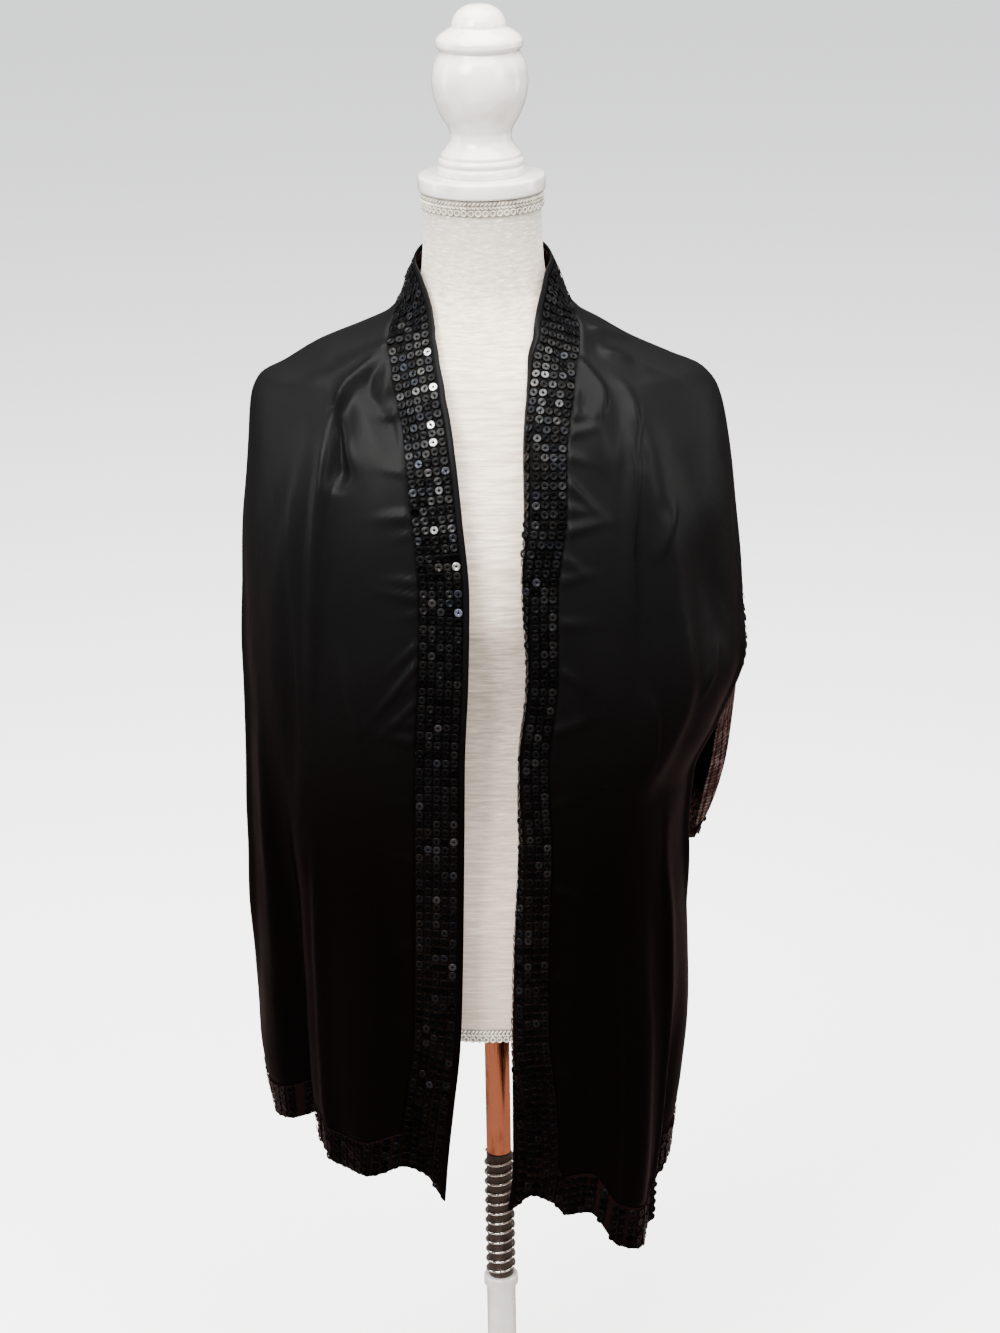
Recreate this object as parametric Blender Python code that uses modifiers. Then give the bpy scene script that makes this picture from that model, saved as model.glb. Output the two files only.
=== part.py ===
"""An evening stole of black satin with sequin bands, open over a limbless dress form on a stand.

Metres, +Z up, the front towards -Y, the origin on the floor under the middle of the base.
Left and right are the viewer's, seen from the front. The cloth is a long rectangle: one long edge
goes from a front hem up to the nape and down to the other front hem, and the other long edge hangs
outside it, up one side, over an arch at the elbow and across the back.
"""

import math
from typing import NamedTuple

import bmesh
import bpy
import numpy as np

# Cloth
SATIN_THICKNESS = 0.0014
BAND_THICKNESS = 0.0018
BAND_WIDTH = 0.037
BINDING_WIDTH = 0.0045
BINDING_THICKNESS = 0.0018
SEAM_GAP = 0.0007
BACK_GAP = 0.0028
STATION_STEP = 0.042
ACROSS_COUNT = 17
ACROSS_EASE = 0.70
BINDING_COLUMNS = (0.0, 0.55, 1.0)
BAND_COLUMNS = (0.0, 0.05, 0.14, 0.24, 0.34, 0.44, 0.54, 0.76, 1.0)
WALK_STEPS = 6
SHOULDER_LENGTH = 0.162
THREAD_BOW = 0.5
THREAD_POINTS = 121
EDGE_STEP = 0.0015
EDGE_REACH = 0.022
LEAST_SLANT = 0.6
HEM_ROWS = 3
FINE_ROWS = 240
ROLL_RADIUS = 0.0060
ROLL_PER_WIDTH = 8000.0
ROLL_MOST = 95.0

# Dress form and stand
NECK_RADIUS = 0.0505
NECK_TOP = 1.3004
FORM_HEM = 0.555
DISC_RADIUS = 0.054
DISC_THICKNESS = 0.0138
BRAID_HEIGHT = 0.0122
BRAID_THICKNESS = 0.0022
POLE_RADIUS = 0.0118
POLE_FOOT = 0.3745
TUBE_RADIUS = 0.0110
COIL_RADIUS = 0.0134
COIL_WIRE = 0.0024
COIL_FOOT = 0.2400
COIL_TOP = 0.3725
COIL_PITCH = 0.0107
COLLAR_RADIUS = 0.0165
COLLAR_TOP = COIL_FOOT - COIL_WIRE / 2 - 0.0003
BASE_RADIUS = 0.175
BASE_THICKNESS = 0.020
COLUMN_RADIUS = 0.0140
PIECE_GAP = 0.0003
FORM_SIDES = 40
BRAID_SIDES = 40
FINIAL_SIDES = 28
ROUND_SIDES = 24
BASE_SIDES = 48
COIL_SIDES = 12


class Section(NamedTuple):
    """A level cut through the worn cloth.

    Half widths and depths, how far the cut draws in at its corners, and the angles from the front, in
    degrees, at which the front's half width gives way to the back's.
    """

    height: float
    left_front: float
    left_back: float
    right_front: float
    right_back: float
    front_depth: float
    back_depth: float
    front_pinch: float
    back_pinch: float
    left_parting: float
    right_parting: float


PARTING_FADE = 9.0
SECTIONS = [
    Section(0.300, 0.205, 0.196, 0.162, 0.214, 0.150, 0.124, -0.10, -0.20, 150, 150),
    Section(0.400, 0.211, 0.196, 0.164, 0.214, 0.150, 0.124, -0.10, -0.20, 150, 150),
    Section(0.480, 0.217, 0.198, 0.174, 0.216, 0.150, 0.124, -0.10, -0.20, 150, 150),
    Section(0.570, 0.218, 0.200, 0.180, 0.218, 0.150, 0.124, -0.10, -0.20, 145, 145),
    Section(0.660, 0.218, 0.204, 0.178, 0.222, 0.150, 0.123, -0.10, -0.20, 135, 120),
    Section(0.720, 0.2175, 0.208, 0.176, 0.225, 0.150, 0.122, -0.10, -0.20, 126, 109),
    Section(0.778, 0.2165, 0.212, 0.179, 0.228, 0.150, 0.121, -0.08, -0.20, 119, 102),
    Section(0.832, 0.216, 0.2155, 0.204, 0.228, 0.150, 0.120, -0.06, -0.15, 115, 98),
    Section(0.894, 0.2165, 0.2165, 0.2250, 0.2250, 0.150, 0.119, -0.03, -0.10, 113, 92),
    Section(0.950, 0.2150, 0.2150, 0.2215, 0.2215, 0.149, 0.117, 0.0, -0.05, 113, 92),
    Section(1.018, 0.2125, 0.2125, 0.2175, 0.2175, 0.144, 0.115, 0.0, 0.0, 113, 92),
    Section(1.090, 0.2060, 0.2060, 0.2095, 0.2095, 0.127, 0.111, 0.05, 0.05, 113, 92),
    Section(1.126, 0.2020, 0.2020, 0.2010, 0.2010, 0.111, 0.105, 0.20, 0.15, 113, 92),
    Section(1.1425, 0.1945, 0.1945, 0.1885, 0.1885, 0.103, 0.101, 0.30, 0.25, 113, 92),
    Section(1.1544, 0.1735, 0.1735, 0.1635, 0.1635, 0.097, 0.093, 0.38, 0.46, 113, 92),
    Section(1.1723, 0.1430, 0.1430, 0.1250, 0.1250, 0.085, 0.082, 0.42, 0.54, 113, 92),
    Section(1.1883, 0.1025, 0.1025, 0.0980, 0.0980, 0.076, 0.073, 0.36, 0.54, 113, 92),
    Section(1.1970, 0.0825, 0.0825, 0.0820, 0.0820, 0.071, 0.070, 0.24, 0.42, 113, 92),
    Section(1.2100, 0.0705, 0.0705, 0.0710, 0.0710, 0.064, 0.065, 0.08, 0.22, 113, 92),
    Section(1.2260, 0.0645, 0.0645, 0.0655, 0.0655, 0.058, 0.063, 0.0, 0.0, 113, 92),
    Section(1.2500, 0.0565, 0.0565, 0.0565, 0.0565, 0.0555, 0.0565, 0.0, 0.0, 113, 92),
    Section(1.2800, 0.0550, 0.0550, 0.0550, 0.0550, 0.0545, 0.0550, 0.0, 0.0, 113, 92),
]


class FormRing(NamedTuple):
    """A level cut through the dress form, as half width and depths."""

    height: float
    half_width: float
    front_depth: float
    back_depth: float
    front_pinch: float
    back_pinch: float


FORM_RINGS = [
    FormRing(FORM_HEM, 0.160, 0.118, 0.106, 0.0, 0.0),
    FormRing(0.600, 0.163, 0.120, 0.109, 0.0, 0.0),
    FormRing(0.660, 0.163, 0.120, 0.111, 0.0, 0.0),
    FormRing(0.720, 0.152, 0.115, 0.108, 0.0, 0.0),
    FormRing(0.790, 0.131, 0.106, 0.094, 0.0, 0.0),
    FormRing(0.850, 0.121, 0.102, 0.086, 0.0, 0.0),
    FormRing(0.910, 0.130, 0.111, 0.090, 0.0, 0.0),
    FormRing(0.960, 0.147, 0.126, 0.096, 0.0, 0.0),
    FormRing(1.000, 0.160, 0.127, 0.100, 0.0, 0.0),
    FormRing(1.050, 0.174, 0.119, 0.101, 0.05, 0.05),
    FormRing(1.090, 0.183, 0.106, 0.099, 0.12, 0.12),
    FormRing(1.120, 0.184, 0.096, 0.094, 0.25, 0.22),
    FormRing(1.1390, 0.177, 0.089, 0.090, 0.34, 0.30),
    FormRing(1.1520, 0.160, 0.084, 0.087, 0.40, 0.36),
    FormRing(1.1690, 0.1275, 0.074, 0.079, 0.44, 0.42),
    FormRing(1.1840, 0.0985, 0.066, 0.070, 0.38, 0.48),
    FormRing(1.1935, 0.0810, 0.061, 0.065, 0.26, 0.42),
    FormRing(1.2055, 0.0665, 0.056, 0.061, 0.10, 0.12),
    FormRing(1.2180, 0.0560, 0.0520, 0.0550, 0.0, 0.0),
    FormRing(1.2450, 0.0515, 0.0510, 0.0515, 0.0, 0.0),
    FormRing(1.2720, NECK_RADIUS, NECK_RADIUS, NECK_RADIUS, 0.0, 0.0),
    FormRing(NECK_TOP, NECK_RADIUS, NECK_RADIUS, NECK_RADIUS, 0.0, 0.0),
]


class EdgeMark(NamedTuple):
    """A place on the front edges: each edge's distance from the middle, and the width rolled inwards."""

    height: float
    left: float
    right: float
    left_under: float
    right_under: float


FRONT_EDGES = [
    EdgeMark(0.400, 0.0490, 0.0085, 0.0000, 0.0040),
    EdgeMark(0.440, 0.0455, 0.0135, 0.0000, 0.0050),
    EdgeMark(0.500, 0.0390, 0.0145, 0.0000, 0.0080),
    EdgeMark(0.570, 0.0315, 0.0156, 0.0000, 0.0120),
    EdgeMark(0.650, 0.0280, 0.0180, 0.0000, 0.0140),
    EdgeMark(0.765, 0.0245, 0.0244, 0.0000, 0.0170),
    EdgeMark(0.840, 0.0225, 0.0255, 0.0000, 0.0200),
    EdgeMark(0.919, 0.0180, 0.0331, 0.0000, 0.0190),
    EdgeMark(0.990, 0.0160, 0.0298, 0.0000, 0.0150),
    EdgeMark(1.052, 0.0207, 0.0323, 0.0000, 0.0105),
    EdgeMark(1.102, 0.0256, 0.0325, 0.0000, 0.0100),
    EdgeMark(1.134, 0.0301, 0.0345, 0.0000, 0.0090),
    EdgeMark(1.175, 0.0378, 0.0385, 0.0000, 0.0070),
    EdgeMark(1.201, 0.0415, 0.0440, 0.0000, 0.0040),
    EdgeMark(1.224, 0.0475, 0.0492, 0.0000, 0.0000),
    EdgeMark(1.236, 0.0530, 0.0525, 0.0000, 0.0000),
]


class Turn(NamedTuple):
    """A place on an edge, as the angle round the body from the front, in degrees, and the height."""

    angle: float
    height: float


NECK_TURN = [
    Turn(90.0, 1.2445),
    Turn(112.0, 1.2490),
    Turn(135.0, 1.2530),
    Turn(158.0, 1.2560),
    Turn(180.0, 1.2570),
]
LEFT_OUTER_EDGE = [
    Turn(128.0, 0.440),
    Turn(127.0, 0.540),
    Turn(121.0, 0.660),
    Turn(114.0, 0.750),
    Turn(110.0, 0.810),
    Turn(110.0, 0.848),
    Turn(113.5, 0.862),
    Turn(118.0, 0.850),
    Turn(123.5, 0.805),
    Turn(131.0, 0.750),
    Turn(140.0, 0.700),
    Turn(152.0, 0.662),
    Turn(166.0, 0.643),
    Turn(180.0, 0.638),
]
RIGHT_OUTER_EDGE = [
    Turn(126.0, 0.395),
    Turn(123.0, 0.500),
    Turn(114.0, 0.620),
    Turn(106.0, 0.700),
    Turn(101.0, 0.755),
    Turn(96.5, 0.820),
    Turn(92.0, 0.872),
    Turn(91.0, 0.893),
    Turn(94.0, 0.888),
    Turn(97.5, 0.850),
    Turn(101.5, 0.792),
    Turn(106.5, 0.744),
    Turn(112.5, 0.704),
    Turn(120.0, 0.672),
    Turn(131.0, 0.652),
    Turn(148.0, 0.641),
    Turn(165.0, 0.638),
    Turn(180.0, 0.638),
]


class HemMark(NamedTuple):
    """How the front hem waves: the angle from the front, in degrees, and the hem's height there."""

    angle: float
    height: float


HEM_LEVEL = 0.400
HEM_FADE = 0.200
LEFT_HEM = [
    HemMark(0.0, 0.404),
    HemMark(13.3, 0.407),
    HemMark(18.5, 0.430),
    HemMark(25.0, 0.4355),
    HemMark(34.0, 0.427),
    HemMark(43.0, 0.430),
    HemMark(52.0, 0.444),
    HemMark(60.0, 0.452),
    HemMark(70.0, 0.441),
    HemMark(80.0, 0.437),
    HemMark(112.0, 0.440),
    HemMark(180.0, 0.440),
]
RIGHT_HEM = [
    HemMark(0.0, 0.399),
    HemMark(2.5, 0.399),
    HemMark(10.5, 0.4165),
    HemMark(17.0, 0.408),
    HemMark(23.0, 0.389),
    HemMark(31.0, 0.388),
    HemMark(39.0, 0.352),
    HemMark(50.0, 0.341),
    HemMark(57.0, 0.350),
    HemMark(66.0, 0.368),
    HemMark(80.0, 0.388),
    HemMark(106.0, 0.395),
    HemMark(180.0, 0.395),
]


class Match(NamedTuple):
    """Lengths from the hem along the neck edge and the outer edge that lie on one thread across."""

    inner: float
    outer: float


LEFT_MATCHES = [
    Match(0.00, 0.00),
    Match(0.06, 0.06),
    Match(0.40, 0.280),
    Match(0.60, 0.365),
    Match(0.70, 0.405),
    Match(0.78, 0.440),
    Match(0.83, 0.470),
    Match(0.87, 0.535),
    Match(0.91, 0.620),
]
RIGHT_MATCHES = [
    Match(0.00, 0.00),
    Match(0.06, 0.06),
    Match(0.40, 0.345),
    Match(0.60, 0.440),
    Match(0.70, 0.475),
    Match(0.78, 0.500),
    Match(0.83, 0.522),
    Match(0.86, 0.590),
    Match(0.90, 0.700),
]


class Fold(NamedTuple):
    """A ridge (depth above 0) or a trough (below 0) between two places, in degrees and metres.

    Angles are below 0 on the viewer's left. fade_in and fade_out are the shares of its length over
    which it rises at its top and dies at its foot.
    """

    top_angle: float
    top_height: float
    foot_angle: float
    foot_height: float
    bow: float
    width: float
    depth: float
    fade_in: float
    fade_out: float


FOLDS = [
    Fold(-40.0, 1.145, -55.0, 0.830, -6.0, 0.022, 0.0080, 0.30, 0.40),
    Fold(-27.0, 1.175, -20.0, 1.080, 2.0, 0.014, -0.0050, 0.35, 0.50),
    Fold(-25.0, 1.120, -29.0, 0.700, 0.0, 0.032, 0.0050, 0.35, 0.40),
    Fold(-62.0, 0.900, -62.0, 0.400, 0.0, 0.022, -0.0300, 0.75, 0.00),
    Fold(-35.0, 0.760, -32.0, 0.400, 0.0, 0.030, 0.0100, 0.60, 0.00),
    Fold(-20.0, 0.700, -19.0, 0.400, 0.0, 0.020, -0.0060, 0.60, 0.00),
    Fold(36.0, 1.170, 44.0, 0.700, 5.0, 0.022, 0.0090, 0.25, 0.45),
    Fold(24.0, 1.180, 27.0, 1.060, 2.0, 0.014, 0.0050, 0.35, 0.50),
    Fold(58.0, 1.050, 62.0, 0.880, 0.0, 0.024, -0.0060, 0.50, 0.50),
    Fold(30.0, 0.930, 26.0, 0.400, 0.0, 0.026, -0.0080, 0.60, 0.00),
    Fold(45.0, 0.760, 47.0, 0.340, 0.0, 0.026, 0.0140, 0.65, 0.00),
    Fold(68.0, 0.640, 66.0, 0.350, 0.0, 0.018, -0.0120, 0.65, 0.00),
    Fold(-138.0, 1.060, -142.0, 0.640, 0.0, 0.034, 0.0090, 0.45, 0.00),
    Fold(-160.0, 1.100, -158.0, 0.600, 0.0, 0.030, -0.0045, 0.60, 0.00),
    Fold(176.0, 1.130, 178.0, 0.590, 0.0, 0.040, 0.0080, 0.50, 0.00),
    Fold(157.0, 1.080, 156.0, 0.600, 0.0, 0.028, -0.0045, 0.60, 0.00),
    Fold(138.0, 1.050, 140.0, 0.630, 0.0, 0.034, 0.0100, 0.50, 0.00),
    Fold(-96.0, 1.020, -98.0, 0.440, 0.0, 0.030, 0.0060, 0.50, 0.00),
]


class Finish(NamedTuple):
    """A plain finish for a piece."""

    color: tuple
    roughness: float
    metallic: float


SATIN = Finish((0.012, 0.011, 0.012), 0.30, 0.0)
SEQUINS = Finish((0.010, 0.010, 0.011), 0.20, 0.0)
LINEN = Finish((0.80, 0.77, 0.73), 0.90, 0.0)
GIMP = Finish((0.70, 0.66, 0.58), 0.80, 0.0)
PAINTED_WOOD = Finish((0.86, 0.85, 0.83), 0.30, 0.0)
COPPER = Finish((0.72, 0.36, 0.22), 0.20, 1.0)
CHROME = Finish((0.60, 0.58, 0.56), 0.15, 1.0)


def smooth_line(places, values):
    """A function that passes through the values, smoothly and with no overshoot."""
    x = np.asarray(places, float)
    y = np.asarray(values, float)
    gaps = np.diff(x)
    slopes = np.diff(y) / gaps
    tangents = np.zeros(len(x))
    tangents[0] = slopes[0]
    tangents[-1] = slopes[-1]
    same_way = slopes[:-1] * slopes[1:] > 0
    before = 2 * gaps[1:] + gaps[:-1]
    after = gaps[1:] + 2 * gaps[:-1]
    safe_left = np.where(same_way, slopes[:-1], 1.0)
    safe_right = np.where(same_way, slopes[1:], 1.0)
    mean = (before + after) / (before / safe_left + after / safe_right)
    tangents[1:-1] = np.where(same_way, mean, 0.0)

    def value(at):
        at = np.clip(at, x[0], x[-1])
        cell = np.clip(np.searchsorted(x, at) - 1, 0, len(x) - 2)
        share = (at - x[cell]) / gaps[cell]
        square = share * share
        cube = square * share
        return (
            y[cell] * (2 * cube - 3 * square + 1)
            + y[cell + 1] * (3 * square - 2 * cube)
            + gaps[cell] * tangents[cell] * (cube - 2 * square + share)
            + gaps[cell] * tangents[cell + 1] * (cube - square)
        )

    return value


def column(rows, name):
    """A table's column as a function of its height."""
    return smooth_line([row.height for row in rows], [getattr(row, name) for row in rows])


def smooth_step(share):
    """0 to 1 with flat ends."""
    share = np.clip(share, 0.0, 1.0)
    return share * share * (3 - 2 * share)


def oval(angle, half_width, depth, pinch):
    """A point of a body's level cut at an angle from the front, in radians."""
    across = half_width * np.sin(angle)
    towards = -depth * np.cos(angle) * (1 - pinch * np.sin(angle) ** 2)
    return across, towards


class Drape:
    """The form that the worn cloth takes, as points at an angle round the body and a height."""

    def __init__(self):
        self.columns = {name: column(SECTIONS, name) for name in Section._fields[1:]}
        self.hems = [
            smooth_line([math.radians(mark.angle) for mark in marks], [mark.height for mark in marks])
            for marks in (LEFT_HEM, RIGHT_HEM)
        ]
        self.folds = [(fold, self.fold_line(fold)) for fold in FOLDS]

    def base(self, angle, height):
        """A point of the smooth form, before the folds and the wave of the hem."""
        angle = np.asarray(angle, float)
        height = np.asarray(height, float)
        at_front = np.cos(angle) >= 0
        on_left = angle < 0
        read = {name: value(height) for name, value in self.columns.items()}
        turn = np.degrees(np.abs(angle))
        to_back = smooth_step((turn - read["left_parting"]) / PARTING_FADE + 0.5)
        left = read["left_front"] + (read["left_back"] - read["left_front"]) * to_back
        to_back = smooth_step((turn - read["right_parting"]) / PARTING_FADE + 0.5)
        right = read["right_front"] + (read["right_back"] - read["right_front"]) * to_back
        depth = np.where(at_front, read["front_depth"], read["back_depth"])
        pinch = np.where(at_front, read["front_pinch"], read["back_pinch"])
        x, y = oval(angle, np.where(on_left, left, right), depth, pinch)
        return np.stack([x, y, height + 0 * x], axis=-1)

    def steps(self, angle, height):
        """The two directions of the form at a point, and its outward normal."""
        small = 1e-4
        by_angle = (self.base(angle + small, height) - self.base(angle - small, height)) / (2 * small)
        by_height = (self.base(angle, height + small) - self.base(angle, height - small)) / (2 * small)
        normal = np.cross(by_angle, by_height)
        normal /= np.linalg.norm(normal, axis=-1, keepdims=True)
        return by_angle, by_height, normal

    def fold_line(self, fold):
        """Points along a fold's middle on the smooth form."""
        share = np.linspace(0.0, 1.0, 25)
        angle = fold.top_angle + (fold.foot_angle - fold.top_angle) * share
        angle = angle + fold.bow * np.sin(math.pi * share)
        height = fold.top_height + (fold.foot_height - fold.top_height) * share
        return self.base(np.radians(angle), height)

    def raised(self, points):
        """How far the folds lift each point of the smooth form."""
        lift = np.zeros(points.shape[:-1])
        for fold, line in self.folds:
            starts = line[:-1]
            runs = line[1:] - line[:-1]
            offset = points[..., None, :] - starts
            share = np.clip((offset * runs).sum(-1) / (runs * runs).sum(-1), 0.0, 1.0)
            distance = np.linalg.norm(offset - share[..., None] * runs, axis=-1)
            nearest = distance.argmin(-1)
            near = np.take_along_axis(distance, nearest[..., None], -1)[..., 0]
            along = (nearest + np.take_along_axis(share, nearest[..., None], -1)[..., 0]) / len(runs)
            rise = smooth_step(along / fold.fade_in) if fold.fade_in else 1.0
            die = smooth_step((1 - along) / fold.fade_out) if fold.fade_out else 1.0
            lift += fold.depth * np.exp(-((near / fold.width) ** 2)) * rise * die
        return lift

    def hem_shift(self, angle, height):
        """How far the wave of the hem moves a point up."""
        wave = np.where(angle < 0, self.hems[0](np.abs(angle)), self.hems[1](np.abs(angle)))
        fade = smooth_step(1 - (height - HEM_LEVEL) / HEM_FADE)
        return (wave - HEM_LEVEL) * fade

    def cloth(self, angle, height, out=0.0):
        """A point of the cloth's middle surface, moved out along the normal."""
        points = self.base(angle, height)
        normal = self.steps(angle, height)[2]
        lift = self.raised(points) + out
        points = points + normal * lift[..., None]
        points[..., 2] += self.hem_shift(np.asarray(angle), np.asarray(height))
        return points


class Edge:
    """A long edge of the cloth on one side, from the hem to the centre back."""

    def __init__(self, drape, angles, heights):
        self.drape = drape
        points = drape.base(np.asarray(angles), np.asarray(heights))
        runs = np.linalg.norm(np.diff(points, axis=0), axis=1)
        marks = np.concatenate([[0.0], np.cumsum(runs)])
        self.length = marks[-1]
        self.angle = smooth_line(marks, angles)
        self.height = smooth_line(marks, heights)

    def walk(self, lengths, distance, inward):
        """The angle and height reached by going straight in from the edge over the cloth."""
        angle = self.angle(lengths)
        height = self.height(lengths)
        ahead = self.drape.base(self.angle(lengths + EDGE_REACH), self.height(lengths + EDGE_REACH))
        behind = self.drape.base(self.angle(lengths - EDGE_REACH), self.height(lengths - EDGE_REACH))
        normal = self.drape.steps(angle, height)[2]
        way = np.cross(normal, ahead - behind) * inward
        for _ in range(WALK_STEPS):
            by_angle, by_height, normal = self.drape.steps(angle, height)
            way = way - normal * (way * normal).sum(-1, keepdims=True)
            way /= np.linalg.norm(way, axis=-1, keepdims=True)
            step = way * (distance / WALK_STEPS)
            aa = (by_angle * by_angle).sum(-1)
            hh = (by_height * by_height).sum(-1)
            ah = (by_angle * by_height).sum(-1)
            sa = (by_angle * step).sum(-1)
            sh = (by_height * step).sum(-1)
            whole = aa * hh - ah * ah
            angle = angle + (sa * hh - sh * ah) / whole
            height = height + (sh * aa - sa * ah) / whole
        return angle, height


class Half:
    """One side of the stole, from its front hem to the centre back."""

    def __init__(self, drape, side, outer_turns, matches):
        self.drape = drape
        self.side = side
        name = "left" if side < 0 else "right"
        front = column(SECTIONS, name + "_front")
        angles = [side * math.asin(getattr(mark, name) / float(front(mark.height))) for mark in FRONT_EDGES]
        heights = [mark.height for mark in FRONT_EDGES]
        angles += [side * math.radians(turn.angle) for turn in NECK_TURN]
        heights += [turn.height for turn in NECK_TURN]
        self.inner = Edge(drape, angles, heights)
        outer_angles = [side * math.radians(turn.angle) for turn in outer_turns]
        outer_heights = [HEM_LEVEL] + [turn.height for turn in outer_turns[1:]]
        self.outer = Edge(drape, outer_angles, outer_heights)
        inner_marks = [match.inner for match in matches] + [self.inner.length]
        outer_marks = [match.outer for match in matches] + [self.outer.length]
        self.partner = smooth_line(inner_marks, outer_marks)
        self.under = column(FRONT_EDGES, name + "_under")
        self.fine = np.linspace(0.0, self.inner.length, FINE_ROWS)
        threads = drape.base(*self.across(self.fine, np.linspace(0.0, 1.0, 9)))
        widest = np.linalg.norm(np.diff(threads, axis=0), axis=2).max(axis=1)
        self.spread = np.concatenate([[0.0], np.cumsum(widest)])

    def even(self, start, end):
        """Lengths along the neck edge whose threads across are about one step apart at their widest."""
        low, high = np.interp([start, end], self.fine, self.spread)
        marks = np.linspace(low, high, max(2, round((high - low) / STATION_STEP) + 1))
        return np.interp(marks, self.spread, self.fine)

    def from_neck_edge(self, lengths, distance):
        """Angle, height and offset out at a distance in from the neck edge, which rolls in to the body."""
        under = self.under(self.inner.height(lengths))
        roll = np.radians(np.minimum(ROLL_PER_WIDTH * under, ROLL_MOST))
        arc = ROLL_RADIUS * roll
        tail = np.maximum(under - arc / 2, 0.0)
        start = ROLL_RADIUS * np.sin(np.minimum(roll, math.pi / 2)) + np.maximum(np.cos(roll), 0.0) * tail
        past = under + arc / 2 - distance
        bend = np.clip(past / ROLL_RADIUS, 0.0, roll)
        beyond = np.maximum(past - arc, 0.0)
        run = start + np.maximum(-past, 0.0) - ROLL_RADIUS * np.sin(bend) - beyond * np.cos(roll)
        out = -ROLL_RADIUS * (1 - np.cos(bend)) - beyond * np.sin(roll)
        angle, height = self.inner.walk(lengths, run[:, None], -self.side)
        return angle, height, out

    def threads(self, lengths):
        """Fine threads across from the neck band's border to the outer edge.

        Gives their angles, their heights, how far along each point is, and the outer band's length on each.
        """
        angle_in, height_in, _ = self.from_neck_edge(lengths, BINDING_WIDTH + BAND_WIDTH + 2 * SEAM_GAP)
        at_edge = self.partner(lengths)
        angle_out = self.outer.angle(at_edge)
        height_out = self.outer.height(at_edge)
        share = np.linspace(0.0, 1.0, THREAD_POINTS)
        angle = angle_in[:, None] + (angle_out - angle_in)[:, None] * share * (1 + THREAD_BOW * (1 - share))
        height = height_in[:, None] + (height_out - height_in)[:, None] * share
        points = self.drape.base(angle, height)
        steps = np.diff(points, axis=1)
        runs = np.linalg.norm(steps, axis=2)
        along = np.concatenate([np.zeros((len(lengths), 1)), np.cumsum(runs, axis=1)], axis=1)
        ahead = self.drape.base(self.outer.angle(at_edge + EDGE_STEP), self.outer.height(at_edge + EDGE_STEP))
        behind = self.drape.base(self.outer.angle(at_edge - EDGE_STEP), self.outer.height(at_edge - EDGE_STEP))
        edge = ahead - behind
        slant = np.linalg.norm(np.cross(edge, steps[:, -1]), axis=1)
        slant /= np.linalg.norm(edge, axis=1) * runs[:, -1]
        return angle, height, along, BAND_WIDTH / np.maximum(slant, LEAST_SLANT)

    def from_outer_edge(self, lengths, distance):
        """Angle, height and offset out at a distance in from the outer edge, across from each length."""
        angle, height, along, band = self.threads(lengths)
        places = along[:, -1] - band * distance / BAND_WIDTH
        angle = np.array([np.interp(*row) for row in zip(places, along, angle)])
        height = np.array([np.interp(*row) for row in zip(places, along, height)])
        return angle, height, 0.0 * angle

    def across(self, lengths, shares):
        """Angle and height between the bands, spread over each thread by those shares."""
        angle, height, along, band = self.threads(lengths)
        gap = np.where(lengths < self.inner.length - SHOULDER_LENGTH, SEAM_GAP, BACK_GAP)
        places = shares * (along[:, -1] - band * (1 + gap / BAND_WIDTH))[:, None]
        angle = np.array([np.interp(*row) for row in zip(places, along, angle)])
        height = np.array([np.interp(*row) for row in zip(places, along, height)])
        return angle, height


def new_object(name, mesh, collection):
    """An object with that mesh in the collection."""
    piece = bpy.data.objects.new(name, mesh)
    collection.objects.link(piece)
    return piece


def grid_mesh(name, points, flip=False, around=False, capped=False):
    """A mesh of quads over rows of points; around joins each row's ends, capped closes both ends."""
    rows, columns = points.shape[:2]
    shape = bmesh.new()
    vertices = [[shape.verts.new(point) for point in row] for row in points]
    wide = columns if around else columns - 1
    for row in range(rows - 1):
        for spot in range(wide):
            beside = (spot + 1) % columns
            corners = [
                vertices[row][spot],
                vertices[row][beside],
                vertices[row + 1][beside],
                vertices[row + 1][spot],
            ]
            shape.faces.new(corners[::-1] if flip else corners)
    if capped:
        for row in (vertices[0], vertices[-1]):
            middle = shape.verts.new(sum((vertex.co for vertex in row), row[0].co * 0) / columns)
            for spot in range(columns):
                shape.faces.new([row[spot], row[(spot + 1) % columns], middle])
    if capped or flip:
        bmesh.ops.recalc_face_normals(shape, faces=shape.faces)
    for face in shape.faces:
        face.smooth = True
    mesh = bpy.data.meshes.new(name)
    shape.to_mesh(mesh)
    shape.free()
    return mesh


def cloth_piece(name, points, thickness, collection):
    """A wall of cloth on those points of its middle surface."""
    piece = new_object(name, grid_mesh(name, points), collection)
    wall = piece.modifiers.new("Wall", "SOLIDIFY")
    wall.thickness = thickness
    wall.offset = 0.0
    return piece


def stations(half):
    """Lengths along the neck edge for the hem band, for the front and for the back, each row its own."""
    shoulder = half.inner.length - SHOULDER_LENGTH
    hem = np.linspace(0.0, BAND_WIDTH, HEM_ROWS)
    front = half.even(BAND_WIDTH, shoulder)
    front[0] += SEAM_GAP
    front[-1] -= SEAM_GAP / 2
    back = half.even(shoulder, half.inner.length)
    back[0] += SEAM_GAP / 2
    return hem, front, back


def both_ways(left_rows, right_rows):
    """Rows from the left hem round the nape to the right hem, with the centre back once."""
    return np.concatenate([left_rows, right_rows[::-1][1:]])


def strip_points(halves, distances, outer):
    """Rows of points of a long strip at those distances in from its edge, hem to hem."""
    rows = []
    for half in halves:
        lengths = np.concatenate(stations(half))
        walk = half.from_outer_edge if outer else half.from_neck_edge
        places = [np.stack(walk(lengths, distance), axis=1) for distance in distances]
        angle, height, out = np.moveaxis(np.stack(places, axis=1), 2, 0)
        rows.append(half.drape.cloth(angle, height, out))
    return both_ways(rows[0], rows[1])


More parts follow.
